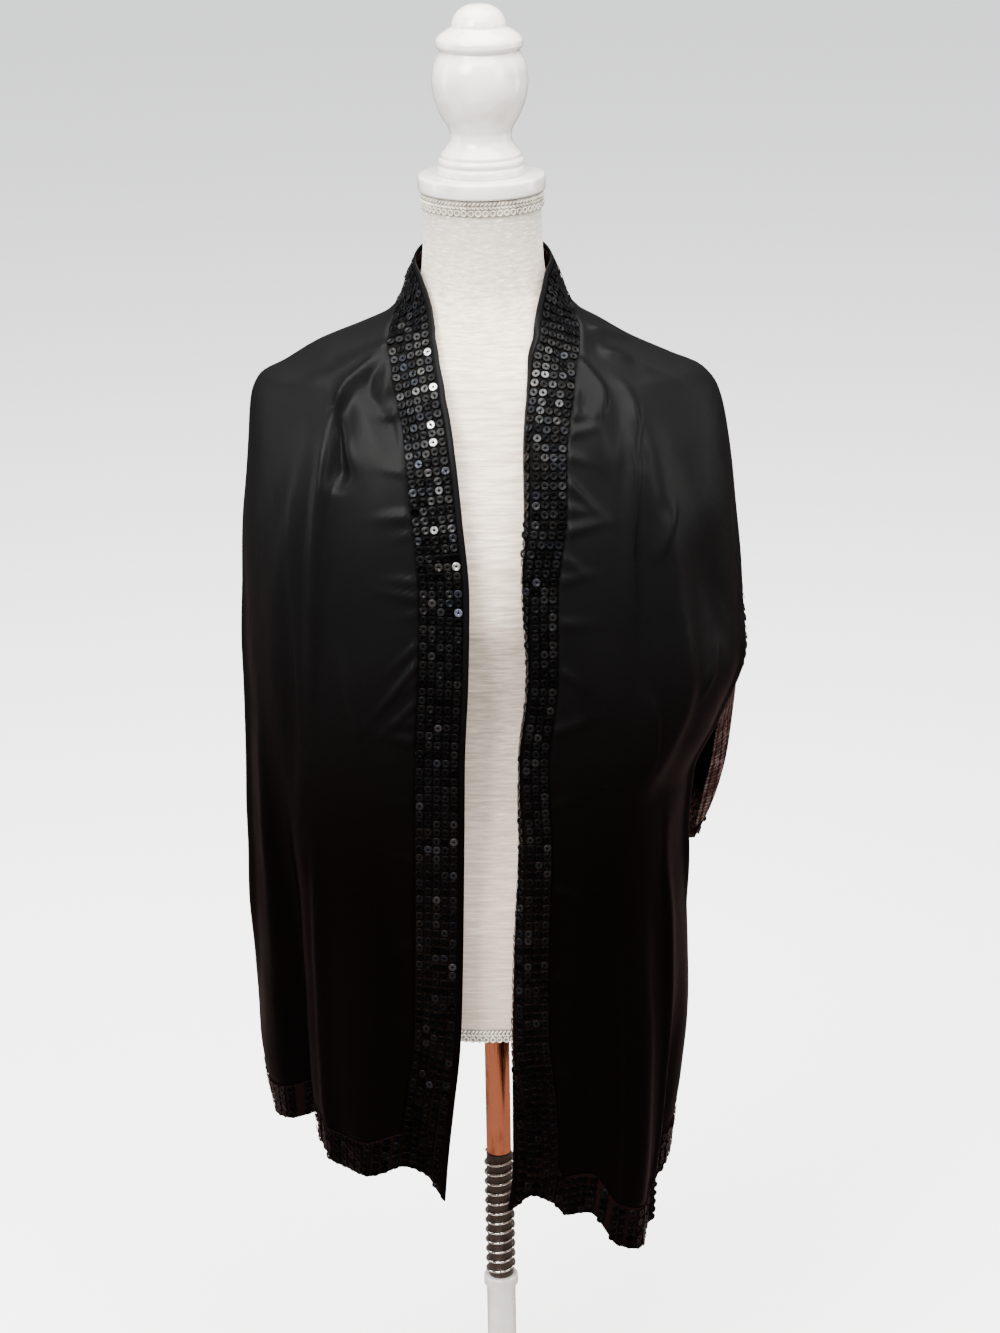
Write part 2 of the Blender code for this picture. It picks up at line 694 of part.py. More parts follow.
def make_stole(halves, collection):
    """The satin in three stretches, its sequin bands and the binding of the neck edge."""
    even_shares = np.linspace(0.0, 1.0, ACROSS_COUNT)
    shares = even_shares - ACROSS_EASE * np.sin(math.tau * even_shares) / math.tau
    backs = []
    for half, side in zip(halves, ("left", "right")):
        hem, front, back = stations(half)
        points = half.drape.cloth(*half.across(hem, shares))
        cloth_piece("hem_band_" + side, points, BAND_THICKNESS, collection)
        points = half.drape.cloth(*half.across(front, shares))
        cloth_piece("satin_" + side + "_front", points, SATIN_THICKNESS, collection)
        backs.append(half.drape.cloth(*half.across(back, shares)))
    cloth_piece("satin_back", both_ways(backs[0], backs[1]), SATIN_THICKNESS, collection)
    binding = [BINDING_WIDTH * share for share in BINDING_COLUMNS]
    cloth_piece("neck_edge_binding", strip_points(halves, binding, False), BINDING_THICKNESS, collection)
    start = BINDING_WIDTH + SEAM_GAP
    band = [start + BAND_WIDTH * share for share in BAND_COLUMNS]
    cloth_piece("neck_edge_band", strip_points(halves, band, False), BAND_THICKNESS, collection)
    outer = [0.0, BAND_WIDTH / 2, BAND_WIDTH]
    cloth_piece("outer_edge_band", strip_points(halves, outer, True), BAND_THICKNESS, collection)


def make_form(collection):
    """The padded torso: rings of the form, closed at its neck and its hem."""
    angles = np.linspace(-math.pi, math.pi, FORM_SIDES, endpoint=False)
    lines = {name: column(FORM_RINGS, name) for name in FormRing._fields[1:]}
    heights = [ring.height for ring in FORM_RINGS]
    rows = []
    for height in heights:
        depth = np.where(np.cos(angles) >= 0, lines["front_depth"](height), lines["back_depth"](height))
        pinch = np.where(np.cos(angles) >= 0, lines["front_pinch"](height), lines["back_pinch"](height))
        x, y = oval(angles, lines["half_width"](height), depth, pinch)
        rows.append(np.stack([x, y, np.full_like(x, height)], axis=1))
    mesh = grid_mesh("form_body", np.array(rows), around=True, capped=True)
    return new_object("form_body", mesh, collection)


def form_cut(height, out):
    """The form's level cut at a height, moved out."""
    angles = np.linspace(-math.pi, math.pi, BRAID_SIDES, endpoint=False)
    lines = {name: column(FORM_RINGS, name) for name in FormRing._fields[1:]}
    depth = np.where(np.cos(angles) >= 0, lines["front_depth"](height), lines["back_depth"](height))
    x, y = oval(angles, lines["half_width"](height) + out, depth + out, 0.0)
    return np.stack([x, y, np.full_like(x, height)], axis=1)


def make_braid(name, low, high, collection):
    """A flat braid round the form between two heights, as a closed ring."""
    near = PIECE_GAP
    far = PIECE_GAP + BRAID_THICKNESS
    corners = [(low, near), (low, far), (high, far), (high, near), (low, near)]
    rows = np.array([form_cut(height, out) for height, out in corners])
    mesh = grid_mesh(name, rows, around=True)
    shape = bmesh.new()
    shape.from_mesh(mesh)
    bmesh.ops.remove_doubles(shape, verts=shape.verts, dist=1e-6)
    bmesh.ops.recalc_face_normals(shape, faces=shape.faces)
    for face in shape.faces:
        face.smooth = False
    shape.to_mesh(mesh)
    shape.free()
    return new_object(name, mesh, collection)


def turned(name, profile, sides, collection):
    """A solid of revolution about Z from (radius, height) places, top to bottom."""
    shape = bmesh.new()
    vertices = [shape.verts.new((radius, 0.0, height)) for radius, height in profile]
    for above, below in zip(vertices, vertices[1:]):
        shape.edges.new((above, below))
    mesh = bpy.data.meshes.new(name)
    shape.to_mesh(mesh)
    shape.free()
    piece = new_object(name, mesh, collection)
    screw = piece.modifiers.new("Turn", "SCREW")
    screw.axis = "Z"
    screw.angle = math.tau
    screw.steps = sides
    screw.render_steps = sides
    screw.use_merge_vertices = True
    screw.merge_threshold = 0.00001
    screw.use_smooth_shade = True
    return piece


def make_finial(collection):
    """The turned finial and the disc that it stands on."""
    foot = NECK_TOP + PIECE_GAP
    top = foot + DISC_THICKNESS
    disc = [
        (0.0, top),
        (DISC_RADIUS - 0.0020, top),
        (DISC_RADIUS, top - 0.0020),
        (DISC_RADIUS, foot + 0.0015),
        (DISC_RADIUS - 0.0015, foot),
        (0.0, foot),
    ]
    turned("neck_disc", disc, BRAID_SIDES, collection)
    low = top + PIECE_GAP
    profile = [
        (0.0, 1.4546),
        (0.0070, 1.4541),
        (0.0140, 1.4514),
        (0.0200, 1.4460),
        (0.0232, 1.4388),
        (0.0236, 1.4362),
        (0.0256, 1.4346),
        (0.0300, 1.4318),
        (0.0345, 1.4282),
        (0.0366, 1.4248),
        (0.0367, 1.4218),
        (0.0352, 1.4186),
        (0.0332, 1.4168),
        (0.0345, 1.4140),
        (0.0378, 1.4080),
        (0.0399, 1.4000),
        (0.0405, 1.3917),
        (0.0396, 1.3820),
        (0.0366, 1.3710),
        (0.0322, 1.3610),
        (0.0279, 1.3540),
        (0.0261, 1.3485),
        (0.0262, 1.3440),
        (0.0285, 1.3385),
        (0.0325, 1.3335),
        (0.0343, 1.3312),
        (0.0343, 1.3288),
        (0.0357, 1.3278),
        (0.0366, 1.3256),
        (0.0357, 1.3234),
        (0.0350, 1.3226),
        (0.0362, 1.3214),
        (0.0372, 1.3195),
        (0.0375, 1.3170),
        (0.0375, low),
        (0.0, low),
    ]
    turned("finial", profile, FINIAL_SIDES, collection)


def make_stand(collection):
    """The pole, the tube inside the coil, the coil, the column and the base plate."""
    pole_top = FORM_HEM - PIECE_GAP
    pole = [(0.0, pole_top), (POLE_RADIUS, pole_top), (POLE_RADIUS, POLE_FOOT), (0.0, POLE_FOOT)]
    turned("pole", pole, ROUND_SIDES, collection)
    tube_top = POLE_FOOT - PIECE_GAP
    tube_foot = COLLAR_TOP + PIECE_GAP
    tube = [(0.0, tube_top), (TUBE_RADIUS, tube_top), (TUBE_RADIUS, tube_foot), (0.0, tube_foot)]
    turned("lower_tube", tube, ROUND_SIDES, collection)
    column_profile = [
        (0.0, COLLAR_TOP),
        (COLLAR_RADIUS - 0.0015, COLLAR_TOP),
        (COLLAR_RADIUS, COLLAR_TOP - 0.0015),
        (COLLAR_RADIUS, COLLAR_TOP - 0.0100),
        (COLUMN_RADIUS, COLLAR_TOP - 0.0140),
        (COLUMN_RADIUS, BASE_THICKNESS + 0.0320),
        (0.0200, BASE_THICKNESS + 0.0160),
        (0.0320, BASE_THICKNESS + 0.0050),
        (0.0360, BASE_THICKNESS + PIECE_GAP),
        (0.0, BASE_THICKNESS + PIECE_GAP),
    ]
    turned("stand_column", column_profile, ROUND_SIDES, collection)
    base_profile = [
        (0.0, BASE_THICKNESS),
        (0.1300, BASE_THICKNESS),
        (BASE_RADIUS - 0.0120, BASE_THICKNESS - 0.0040),
        (BASE_RADIUS - 0.0020, BASE_THICKNESS - 0.0110),
        (BASE_RADIUS, 0.0040),
        (BASE_RADIUS - 0.0020, 0.0),
        (0.0, 0.0),
    ]
    turned("base_plate", base_profile, BASE_SIDES, collection)
    turns = (COIL_TOP - COIL_FOOT) / COIL_PITCH
    count = round(turns * COIL_SIDES)
    points = []
    for spot in range(count + 1):
        share = spot / count
        angle = math.tau * turns * share + math.radians(25.0)
        points.append(
            (COIL_RADIUS * math.cos(angle), COIL_RADIUS * math.sin(angle), COIL_FOOT + (COIL_TOP - COIL_FOOT) * share)
        )
    curve = bpy.data.curves.new("coil", "CURVE")
    curve.dimensions = "3D"
    line = curve.splines.new("POLY")
    line.points.add(len(points) - 1)
    for spot, place in zip(line.points, points):
        spot.co = (*place, 1.0)
    curve.bevel_depth = COIL_WIRE / 2
    curve.bevel_resolution = 1
    curve.use_fill_caps = True
    new_object("coil", curve, collection)


def dress(piece, finish):
    """Gives a piece its own material."""
    material = bpy.data.materials.new(piece.name)
    material.use_nodes = True
    shader = material.node_tree.nodes["Principled BSDF"]
    shader.inputs["Base Color"].default_value = (*finish.color, 1.0)
    shader.inputs["Roughness"].default_value = finish.roughness
    shader.inputs["Metallic"].default_value = finish.metallic
    piece.data.materials.append(material)


FINISHES = {
    "satin_left_front": SATIN,
    "satin_right_front": SATIN,
    "satin_back": SATIN,
    "neck_edge_binding": SATIN,
    "neck_edge_band": SEQUINS,
    "outer_edge_band": SEQUINS,
    "hem_band_left": SEQUINS,
    "hem_band_right": SEQUINS,
    "form_body": LINEN,
    "neck_braid": GIMP,
    "hem_braid": GIMP,
    "neck_disc": PAINTED_WOOD,
    "finial": PAINTED_WOOD,
    "pole": COPPER,
    "lower_tube": CHROME,
    "coil": CHROME,
    "stand_column": PAINTED_WOOD,
    "base_plate": PAINTED_WOOD,
}


def main():
    """Clears the scene and builds every piece."""
    for old in list(bpy.data.objects):
        bpy.data.objects.remove(old)
    collection = bpy.data.collections.new("evening_stole_on_dress_form")
    bpy.context.scene.collection.children.link(collection)
    drape = Drape()
    halves = [
        Half(drape, -1, LEFT_OUTER_EDGE, LEFT_MATCHES),
        Half(drape, 1, RIGHT_OUTER_EDGE, RIGHT_MATCHES),
    ]
    make_stole(halves, collection)
    make_form(collection)
    make_braid("neck_braid", NECK_TOP - BRAID_HEIGHT, NECK_TOP - PIECE_GAP, collection)
    make_braid("hem_braid", FORM_HEM, FORM_HEM + BRAID_HEIGHT, collection)
    make_finial(collection)
    make_stand(collection)
    for piece in collection.objects:
        dress(piece, FINISHES[piece.name])


main()
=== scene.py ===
"""Looks of a black satin evening stole with sequin bands, open over a limbless dress form on a stand.

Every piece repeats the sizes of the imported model, in metres, +Z up, the front towards -Y. Left and right
are the viewer's. The cloth is one long rectangle: its neck edge runs from a front hem up to the nape and
down to the other hem, and its outer edge hangs outside that, up one side, over an arch at the elbow and
across the back. Each piece of cloth is a grid whose points are moved onto that drape.
"""

import logging
import math
from abc import ABC, abstractmethod
from collections.abc import Callable, Sequence
from dataclasses import dataclass
from enum import Enum
from typing import NamedTuple

import bmesh
import bpy
import numpy as np
from mathutils import Matrix, Vector


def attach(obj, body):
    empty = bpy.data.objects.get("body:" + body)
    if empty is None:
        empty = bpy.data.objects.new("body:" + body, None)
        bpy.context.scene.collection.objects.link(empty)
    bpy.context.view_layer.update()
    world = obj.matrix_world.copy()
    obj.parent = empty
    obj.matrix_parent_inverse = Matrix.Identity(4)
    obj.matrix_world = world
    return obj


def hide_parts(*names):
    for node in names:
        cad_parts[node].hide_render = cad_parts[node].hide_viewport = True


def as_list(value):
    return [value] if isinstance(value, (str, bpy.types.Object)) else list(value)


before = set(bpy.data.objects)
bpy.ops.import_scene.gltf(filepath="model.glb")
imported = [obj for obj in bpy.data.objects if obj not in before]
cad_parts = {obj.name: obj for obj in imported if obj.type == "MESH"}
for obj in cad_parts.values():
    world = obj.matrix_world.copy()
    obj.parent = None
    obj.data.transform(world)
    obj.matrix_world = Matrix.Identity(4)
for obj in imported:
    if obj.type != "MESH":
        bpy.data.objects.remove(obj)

log = logging.getLogger("stole")

Array = np.ndarray
Line = Callable[[Array], Array]
Pair = tuple[float, float]
Colour = tuple[float, float, float]
Profile = Sequence[Pair]
Shape = bmesh.types.BMesh
Mesh = bpy.types.Mesh
Piece = bpy.types.Object
Material = bpy.types.Material
Node = bpy.types.Node
Tree = bpy.types.NodeTree
Socket = bpy.types.NodeSocket
Looks = dict[str, Socket | float]

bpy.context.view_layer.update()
BODY = "root"
SEED = 27
MERGE = 0.00001

# Sizes of the cloth, as packed
BAND_WIDTH = 0.037
BINDING_WIDTH = 0.0045
SEAM_GAP = 0.0007
TUCK = 0.0040
TUCK_DEPTH = 0.0015
SHOULDER_LENGTH = 0.162
HEM_LEVEL = 0.400
HEM_FADE = 0.200
PARTING_FADE = 9.0
EDGE_STEP = 0.0015
EDGE_REACH = 0.022
LEAST_SLANT = 0.6
WALK_STEPS = 6
THREAD_BOW = 0.5
THREAD_POINTS = 121
FINE_ROWS = 600
ROLL_RADIUS = 0.0060
ROLL_PER_WIDTH = 8000.0
ROLL_MOST = 95.0

# Sizes of the dress form and its stand, as packed
NECK_RADIUS = 0.0505
NECK_TOP = 1.3004
FORM_HEM = 0.555
FORM_GIRTH = 0.13
PIECE_GAP = 0.0003


class Side(Enum):
    """A side of the stole, as the viewer sees it."""

    LEFT = -1
    RIGHT = 1


class Slot(Enum):
    """The record's material slots."""

    SATIN = "black_satin"
    SEQUINS = "black_sequins"
    LINEN = "linen"
    GIMP = "gimp_braid"
    PAINT = "painted_wood"
    METAL_PAINT = "painted_metal"
    COPPER = "copper_tube"
    CHROME = "chrome"


class Section(NamedTuple):
    """A level cut through the worn cloth.

    Half widths and depths, how far the cut draws in at its corners, and the angles from the front, in
    degrees, at which the front's half width gives way to the back's.
    """

    height: float
    left_front: float
    left_back: float
    right_front: float
    right_back: float
    front_depth: float
    back_depth: float
    front_pinch: float
    back_pinch: float
    left_parting: float
    right_parting: float


PARTINGS = (113, 92)
SECTIONS = [Section(*row) for row in (
    (.3, .205, .196, .162, .214, .15, .124, -.1, -.2, 150, 150),
    (.4, .211, .196, .164, .214, .15, .124, -.1, -.2, 150, 150),
    (.48, .217, .198, .174, .216, .15, .124, -.1, -.2, 150, 150),
    (.57, .218, .2, .18, .218, .15, .124, -.1, -.2, 145, 145),
    (.66, .218, .204, .178, .222, .15, .123, -.1, -.2, 135, 120),
    (.72, .2175, .208, .176, .225, .15, .122, -.1, -.2, 126, 109),
    (.778, .2165, .212, .179, .228, .15, .121, -.08, -.2, 119, 102),
    (.832, .216, .2155, .204, .228, .15, .12, -.06, -.15, 115, 98),
)]
SECTIONS += [Section(z, left, left, right, right, *rest, *PARTINGS) for z, left, right, *rest in (
    (.894, .2165, .225, .15, .119, -.03, -.1), (.95, .215, .2215, .149, .117, 0, -.05),
    (1.018, .2125, .2175, .144, .115, 0, 0), (1.09, .206, .2095, .127, .111, .05, .05),
    (1.126, .202, .201, .111, .105, .2, .15), (1.1425, .1945, .1885, .103, .101, .3, .25),
    (1.1544, .1735, .1635, .097, .093, .38, .46), (1.1723, .143, .125, .085, .082, .42, .54),
    (1.1883, .1025, .098, .076, .073, .36, .54), (1.197, .0825, .082, .071, .07, .24, .42),
    (1.21, .0705, .071, .064, .065, .08, .22), (1.226, .0645, .0655, .058, .063, 0, 0),
    (1.25, .0565, .0565, .0555, .0565, 0, 0), (1.28, .055, .055, .0545, .055, 0, 0),
)]


class FormRing(NamedTuple):
    """A level cut through the dress form, as half width and depths."""

    height: float
    half_width: float
    front_depth: float
    back_depth: float
    front_pinch: float
    back_pinch: float


FORM_RINGS = [FormRing(*row) for row in (
    (FORM_HEM, .16, .118, .106, 0, 0), (.6, .163, .12, .109, 0, 0), (.66, .163, .12, .111, 0, 0),
    (.72, .152, .115, .108, 0, 0), (.79, .131, .106, .094, 0, 0), (.85, .121, .102, .086, 0, 0),
    (.91, .13, .111, .09, 0, 0), (.96, .147, .126, .096, 0, 0), (1, .16, .127, .1, 0, 0),
    (1.05, .174, .119, .101, .05, .05), (1.09, .183, .106, .099, .12, .12),
    (1.12, .184, .096, .094, .25, .22), (1.139, .177, .089, .09, .34, .3), (1.152, .16, .084, .087, .4, .36),
    (1.169, .1275, .074, .079, .44, .42), (1.184, .0985, .066, .07, .38, .48),
    (1.1935, .081, .061, .065, .26, .42), (1.2055, .0665, .056, .061, .1, .12),
    (1.218, .056, .052, .055, 0, 0), (1.245, .0515, .051, .0515, 0, 0),
    (1.272, NECK_RADIUS, NECK_RADIUS, NECK_RADIUS, 0, 0),
    (NECK_TOP, NECK_RADIUS, NECK_RADIUS, NECK_RADIUS, 0, 0),
)]


class EdgeMark(NamedTuple):
    """A place on the front edges: each edge's distance from the middle, and the width rolled inwards."""

    height: float
    left: float
    right: float
    left_under: float
    right_under: float


FRONT_EDGES = [EdgeMark(*row) for row in (
    (.4, .049, .0085, 0, .004), (.44, .0455, .0135, 0, .005), (.5, .039, .0145, 0, .008),
    (.57, .0315, .0156, 0, .012), (.65, .028, .018, 0, .014), (.765, .0245, .0244, 0, .017),
    (.84, .0225, .0255, 0, .02), (.919, .018, .0331, 0, .019), (.99, .016, .0298, 0, .015),
    (1.052, .0207, .0323, 0, .0105), (1.102, .0256, .0325, 0, .01), (1.134, .0301, .0345, 0, .009),
    (1.175, .0378, .0385, 0, .007), (1.201, .0415, .044, 0, .004), (1.224, .0475, .0492, 0, 0),
    (1.236, .053, .0525, 0, 0),
)]


# Places on the edges and hems, as the angle round the body from the front, in degrees, and the height
NECK_TURN = [
    (90, 1.2445), (112, 1.249), (135, 1.253), (158, 1.256), (180, 1.257),
]
LEFT_OUTER_EDGE = [
    (128, .44), (127, .54), (121, .66), (114, .75), (110, .81), (110, .848), (113.5, .862), (118, .85),
    (123.5, .805), (131, .75), (140, .7), (152, .662), (166, .643), (180, .638),
]
RIGHT_OUTER_EDGE = [
    (126, .395), (123, .5), (114, .62), (106, .7), (101, .755), (96.5, .82), (92, .872), (91, .893),
    (94, .888), (97.5, .85), (101.5, .792), (106.5, .744), (112.5, .704), (120, .672), (131, .652),
    (148, .641), (165, .638), (180, .638),
]


LEFT_HEM = [
    (0, .404), (13.3, .407), (18.5, .43), (25, .4355), (34, .427), (43, .43), (52, .444), (60, .452),
    (70, .441), (80, .437), (112, .44), (180, .44),
]
RIGHT_HEM = [
    (0, .399), (2.5, .399), (10.5, .4165), (17, .408), (23, .389), (31, .388), (39, .352), (50, .341),
    (57, .35), (66, .368), (80, .388), (106, .395), (180, .395),
]


# Lengths from the hem along the neck edge and the outer edge that lie on one thread across
LEFT_MATCHES = [
    (0, 0), (.06, .06), (.4, .28), (.6, .365), (.7, .405), (.78, .44), (.83, .47), (.87, .535), (.91, .62),
]
RIGHT_MATCHES = [
    (0, 0), (.06, .06), (.4, .345), (.6, .44), (.7, .475), (.78, .5), (.83, .522), (.86, .59), (.9, .7),
]


class Fold(NamedTuple):
    """A ridge (depth above 0) or a trough (below 0) between two places, in degrees and metres.

    Angles are below 0 on the viewer's left. fade_in and fade_out are the shares of its length over
    which it rises at its top and dies at its foot.
    """

    top_angle: float
    top_height: float
    foot_angle: float
    foot_height: float
    bow: float
    width: float
    depth: float
    fade_in: float
    fade_out: float
    steep: int = 0


FOLDS = [Fold(*row) for row in (
    (-40, 1.145, -55, .83, -6, .022, .008, .3, .4), (-27, 1.175, -20, 1.08, 2, .014, -.005, .35, .5),
    (-25, 1.12, -29, .7, 0, .032, .005, .35, .4), (-62, .9, -62, .4, 0, .022, -.03, .75, 0),
    (-35, .76, -32, .4, 0, .03, .01, .6, 0), (-20, .7, -19, .4, 0, .02, -.006, .6, 0),
    (36, 1.17, 44, .7, 5, .022, .009, .25, .45), (24, 1.18, 27, 1.06, 2, .014, .005, .35, .5),
    (58, 1.05, 62, .88, 0, .024, -.006, .5, .5), (30, .93, 26, .4, 0, .026, -.008, .6, 0),
    (45, .76, 47, .34, 0, .026, .014, .65, 0), (68, .64, 66, .35, 0, .018, -.012, .65, 0),
    (-138, 1.06, -142, .64, 0, .034, .009, .45, 0), (-160, 1.1, -158, .6, 0, .03, -.0045, .6, 0),
    (176, 1.13, 178, .59, 0, .04, .008, .5, 0), (157, 1.08, 156, .6, 0, .028, -.0045, .6, 0),
    (138, 1.05, 140, .63, 0, .034, .01, .5, 0), (-96, 1.02, -98, .44, 0, .03, .006, .5, 0),
)]

CREASES = [Fold(*row) for row in (
    (-36.5, 1.186, -45.5, .82, -1.5, .008, .0066, .12, .5, 1),
    (-38.5, 1.176, -32.5, 1.078, -1.5, .0065, .0045, .2, .3, -1),
    (-38.5, 1.152, -36.2, 1.066, 0, .0098, -.0088, .45, .22),
    (-40, 1.168, -20.5, 1.106, 2.5, .008, -.0045, .35, .35), (-32, 1.163, -24, 1.146, 0, .008, .003, .4, .4),
    (-30, 1.196, -54, 1.14, -2, .008, .003, .3, .5, 1), (-70, .92, -68.5, .4, 0, .01, .0045, .4, 0, 1),
    (-35.5, .95, -28.5, .835, 0, .007, .0032, .4, .4, 1),
    (-53, 1.075, -54.5, .74, 1, .013, -.0062, .45, .5, 1), (-26, .8, -24, .4, 1, .012, -.004, .4, 0),
    (-46.5, .79, -45.5, .4, 0, .011, .0045, .4, 0, -1), (-84, 1.06, -86, .55, 0, .014, .004, .4, .2, 1),
    (-112, 1.04, -117, .6, 0, .015, .0042, .4, .3), (40.5, 1.158, 34, .9, -4, .0085, .0055, .2, .4, 1),
    (33.5, .905, 44.5, .795, 2, .008, .0035, .3, .5, 1), (37.2, 1.126, 36.8, 1.078, 0, .006, -.0035, .4, .4),
    (48, 1.172, 56, 1.158, 0, .006, .003, .4, .4), (58, 1.187, 76, 1.17, 0, .008, .0035, .3, .4, -1),
    (34, 1.185, 23.5, 1.115, -2, .006, -.0035, .3, .3), (37, 1.178, 25.5, 1.116, 1, .007, .004, .3, .4, 1),
    (47.5, 1.056, 38.5, 1, 0, .007, .0032, .4, .4, 1), (38.2, .985, 38, .8, 0, .012, .0035, .4, .4),
    (48.5, .985, 47.5, .78, 0, .012, .0035, .4, .4), (64, .925, 53, .865, 0, .0065, .0028, .4, .4, -1),
    (19, .915, 27, .825, 0, .008, -.0035, .4, .4), (36, .7, 37, .38, 0, .013, .005, .5, 0, 1),
    (52, .72, 54, .36, 0, .013, -.005, .4, 0), (60, .8, 59, .37, 0, .01, .0042, .4, 0, -1),
    (82, 1.07, 78, .62, 0, .014, .0045, .4, .2, -1), (128, 1.03, 130, .7, 0, .014, .0042, .4, .2, 1),
    (148, 1.09, 149, .66, -2, .012, -.0042, .4, .1), (168, 1.1, 166, .66, 1, .014, .0048, .4, .1, -1),
    (-171, 1.09, -170, .66, 0, .012, -.0042, .5, .1), (-150, 1.1, -149, .66, 2, .014, .005, .4, .1, 1),
    (-128, 1.04, -130, .72, 0, .013, -.004, .4, .2),
)]


class Pucker(NamedTuple):
    """A short gather of the satin at the neck band's seam.

    reach is how far it runs from the seam, width its half width along it, and slant how far it turns up
    for each metre away from the seam.
    """

    side: int
    height: float
    reach: float
    width: float
    depth: float
    slant: float


PUCKERS = [Pucker(*row) for row in (
    (-1, 1.145, .022, .0038, .003, .5), (-1, 1.096, .018, .0034, .0023, .7),
    (-1, 1.06, .026, .0043, .0036, .4), (-1, 1.046, .015, .003, .0021, .2),
    (-1, 1.003, .024, .0043, .0034, .5), (-1, .988, .028, .0047, .0038, .6),
    (-1, .972, .016, .0034, .0025, .3), (-1, .947, .022, .0038, .0032, -.6),
    (-1, .93, .034, .0047, .0046, -1), (-1, .914, .018, .0034, .0027, -.5),
    (-1, .893, .026, .0043, .0034, -.7), (-1, .874, .02, .0038, .0029, .2),
    (-1, .856, .028, .0047, .0034, .5), (-1, .8, .022, .0051, .0021, .3), (-1, .742, .028, .0051, .0023, .5),
    (-1, .662, .024, .0055, .0021, -.3), (-1, .571, .026, .0055, .0021, .4),
    (1, 1.138, .02, .0038, .0032, .5), (1, 1.122, .026, .0038, .0036, .8),
    (1, 1.104, .018, .0034, .0029, .3), (1, 1.083, .024, .0043, .0036, -.4),
    (1, 1.061, .02, .0038, .0032, .3), (1, 1.043, .028, .0043, .004, .6),
    (1, 1.022, .018, .0038, .0029, -.3), (1, 1.001, .022, .0043, .0032, .5),
    (1, .962, .024, .0051, .0029, .2), (1, .921, .02, .0047, .0027, -.4), (1, .868, .03, .0051, .0034, .4),
    (1, .795, .024, .0051, .0021, .3), (1, .716, .028, .0055, .0023, -.3), (1, .625, .024, .0055, .0021, .4),
    (1, .528, .026, .0055, .0021, .2),
)]
PUCKER_START = 0.005


class PaintedGlint(NamedTuple):
    """A sequin given a bright tone as a painted glint: its place across and up, seen from the front, and its
    tone.
    """

    x: float
    z: float
    tone: float = 0.022
    blue: float = 0.1


# Painted glints: these sequins get bright tones where the lights flash on them.
PAINTED_GLINTS = [PaintedGlint(*row) for row in (
    (-.0431, 1.1533, .57), (-.0439, 1.126, .37), (-.0433, 1.1125, .36), (-.0515, 1.1655, .045),
    (-.0502, 1.1527, .05), (-.0461, 1.1802, .45, .2), (-.0494, 1.188, .025, 0), (-.0527, 1.1831),
    (-.0528, 1.1783), (-.036, 1.0769, .045), (-.0356, 1.0745, .045), (-.0426, 1.0794),
    (-.024, 1.0122, .57, 0), (-.031, 1.0106, .04, 0), (-.0382, 1.0099, .065, 0), (-.0274, 1.0483, .04),
    (-.0338, 1.0476, .03), (-.0261, 1.0341, .045, .5), (-.0543, 1.0424, .025), (-.032, 1.0259, .025),
    (-.0235, 1.0036, .035), (-.0238, .9867, .065, .9), (-.0237, .9779, .42, .9), (-.032, .9864, .022, 1),
    (-.0381, .9778, .045, .3), (-.0454, .9858, .025, .2), (-.0539, .9868, .03), (-.0548, .9781, .025),
    (-.0464, .9597), (-.0544, .9598), (.0549, 1.1792, .045), (.0547, 1.1848, .022, 0), (.0529, 1.1671),
    (.0447, 1.1611, .045), (.0438, 1.1542, .05, 0), (.0503, 1.1469, .04), (.0489, 1.1407, .04, .2),
    (.048, 1.1342, .045, .2), (.047, 1.1267, .045, .2), (.0449, 1.1132, .03, .2), (.0506, 1.0981),
    (.0498, 1.077, .025, .2), (.0409, 1.0693, .025, .7), (.0379, 1.0483, .04, .2), (.038, 1.0405, .03, .3),
    (.0446, 1.0396, .025), (.0416, .999, .07, .6), (.034, .9925, .045, .8), (.0479, .9902, .03),
    (.0414, .9843, .022, .6), (.0551, .9658, .04), (.055, .9579, .025), (.0544, .9402), (.0551, .9322),
    (.0523, .8988), (.0605, 1.1369, .04), (.0602, 1.1235, .03),
)]


class SoftBox(NamedTuple):
    """A rectangular studio light."""

    name: str
    place: tuple[float, float, float]
    aim_height: float
    width: float
    height: float
    power: float
    colour: tuple[float, float, float]


SOFT_BOXES = [
    SoftBox("key_box", (-1.7, -2.3, 3.1), 0.95, 1.6, 1.6, 300.0, (1.0, 0.985, 0.96)),
    SoftBox("fill_box", (2.2, -1.9, 2.2), 0.85, 1.1, 1.8, 75.0, (1.0, 0.96, 0.92)),
    SoftBox("top_box", (0.0, -0.5, 3.6), 0.90, 3.2, 3.2, 620.0, (1.0, 0.99, 0.97)),
    SoftBox("left_strip", (-2.6, 0.1, 1.6), 0.90, 0.5, 2.2, 45.0, (0.95, 0.97, 1.0)),
    SoftBox("right_strip", (2.6, 0.4, 1.6), 0.90, 0.5, 2.2, 42.0, (1.0, 0.98, 0.95)),
]


FINIAL = [
    (0, 1.4546), (.007, 1.4541), (.014, 1.4514), (.02, 1.446), (.0232, 1.4388), (.0236, 1.4362),
    (.0256, 1.4346), (.03, 1.4318), (.0345, 1.4282), (.0366, 1.4248), (.0367, 1.4218), (.0352, 1.4186),
    (.0332, 1.4168), (.0345, 1.414), (.0378, 1.408), (.0399, 1.4), (.0405, 1.3917), (.0396, 1.382),
    (.0366, 1.371), (.0322, 1.361), (.0279, 1.354), (.0261, 1.3485), (.0262, 1.344), (.0285, 1.3385),
    (.0325, 1.3335), (.0343, 1.3312), (.0343, 1.3288), (.0357, 1.3278), (.0366, 1.3256), (.0357, 1.3234),
    (.035, 1.3226), (.0362, 1.3214), (.0372, 1.3195), (.0375, 1.317),
    (.0375, NECK_TOP + 2 * PIECE_GAP + 0.0138), (0, NECK_TOP + 2 * PIECE_GAP + 0.0138),
]


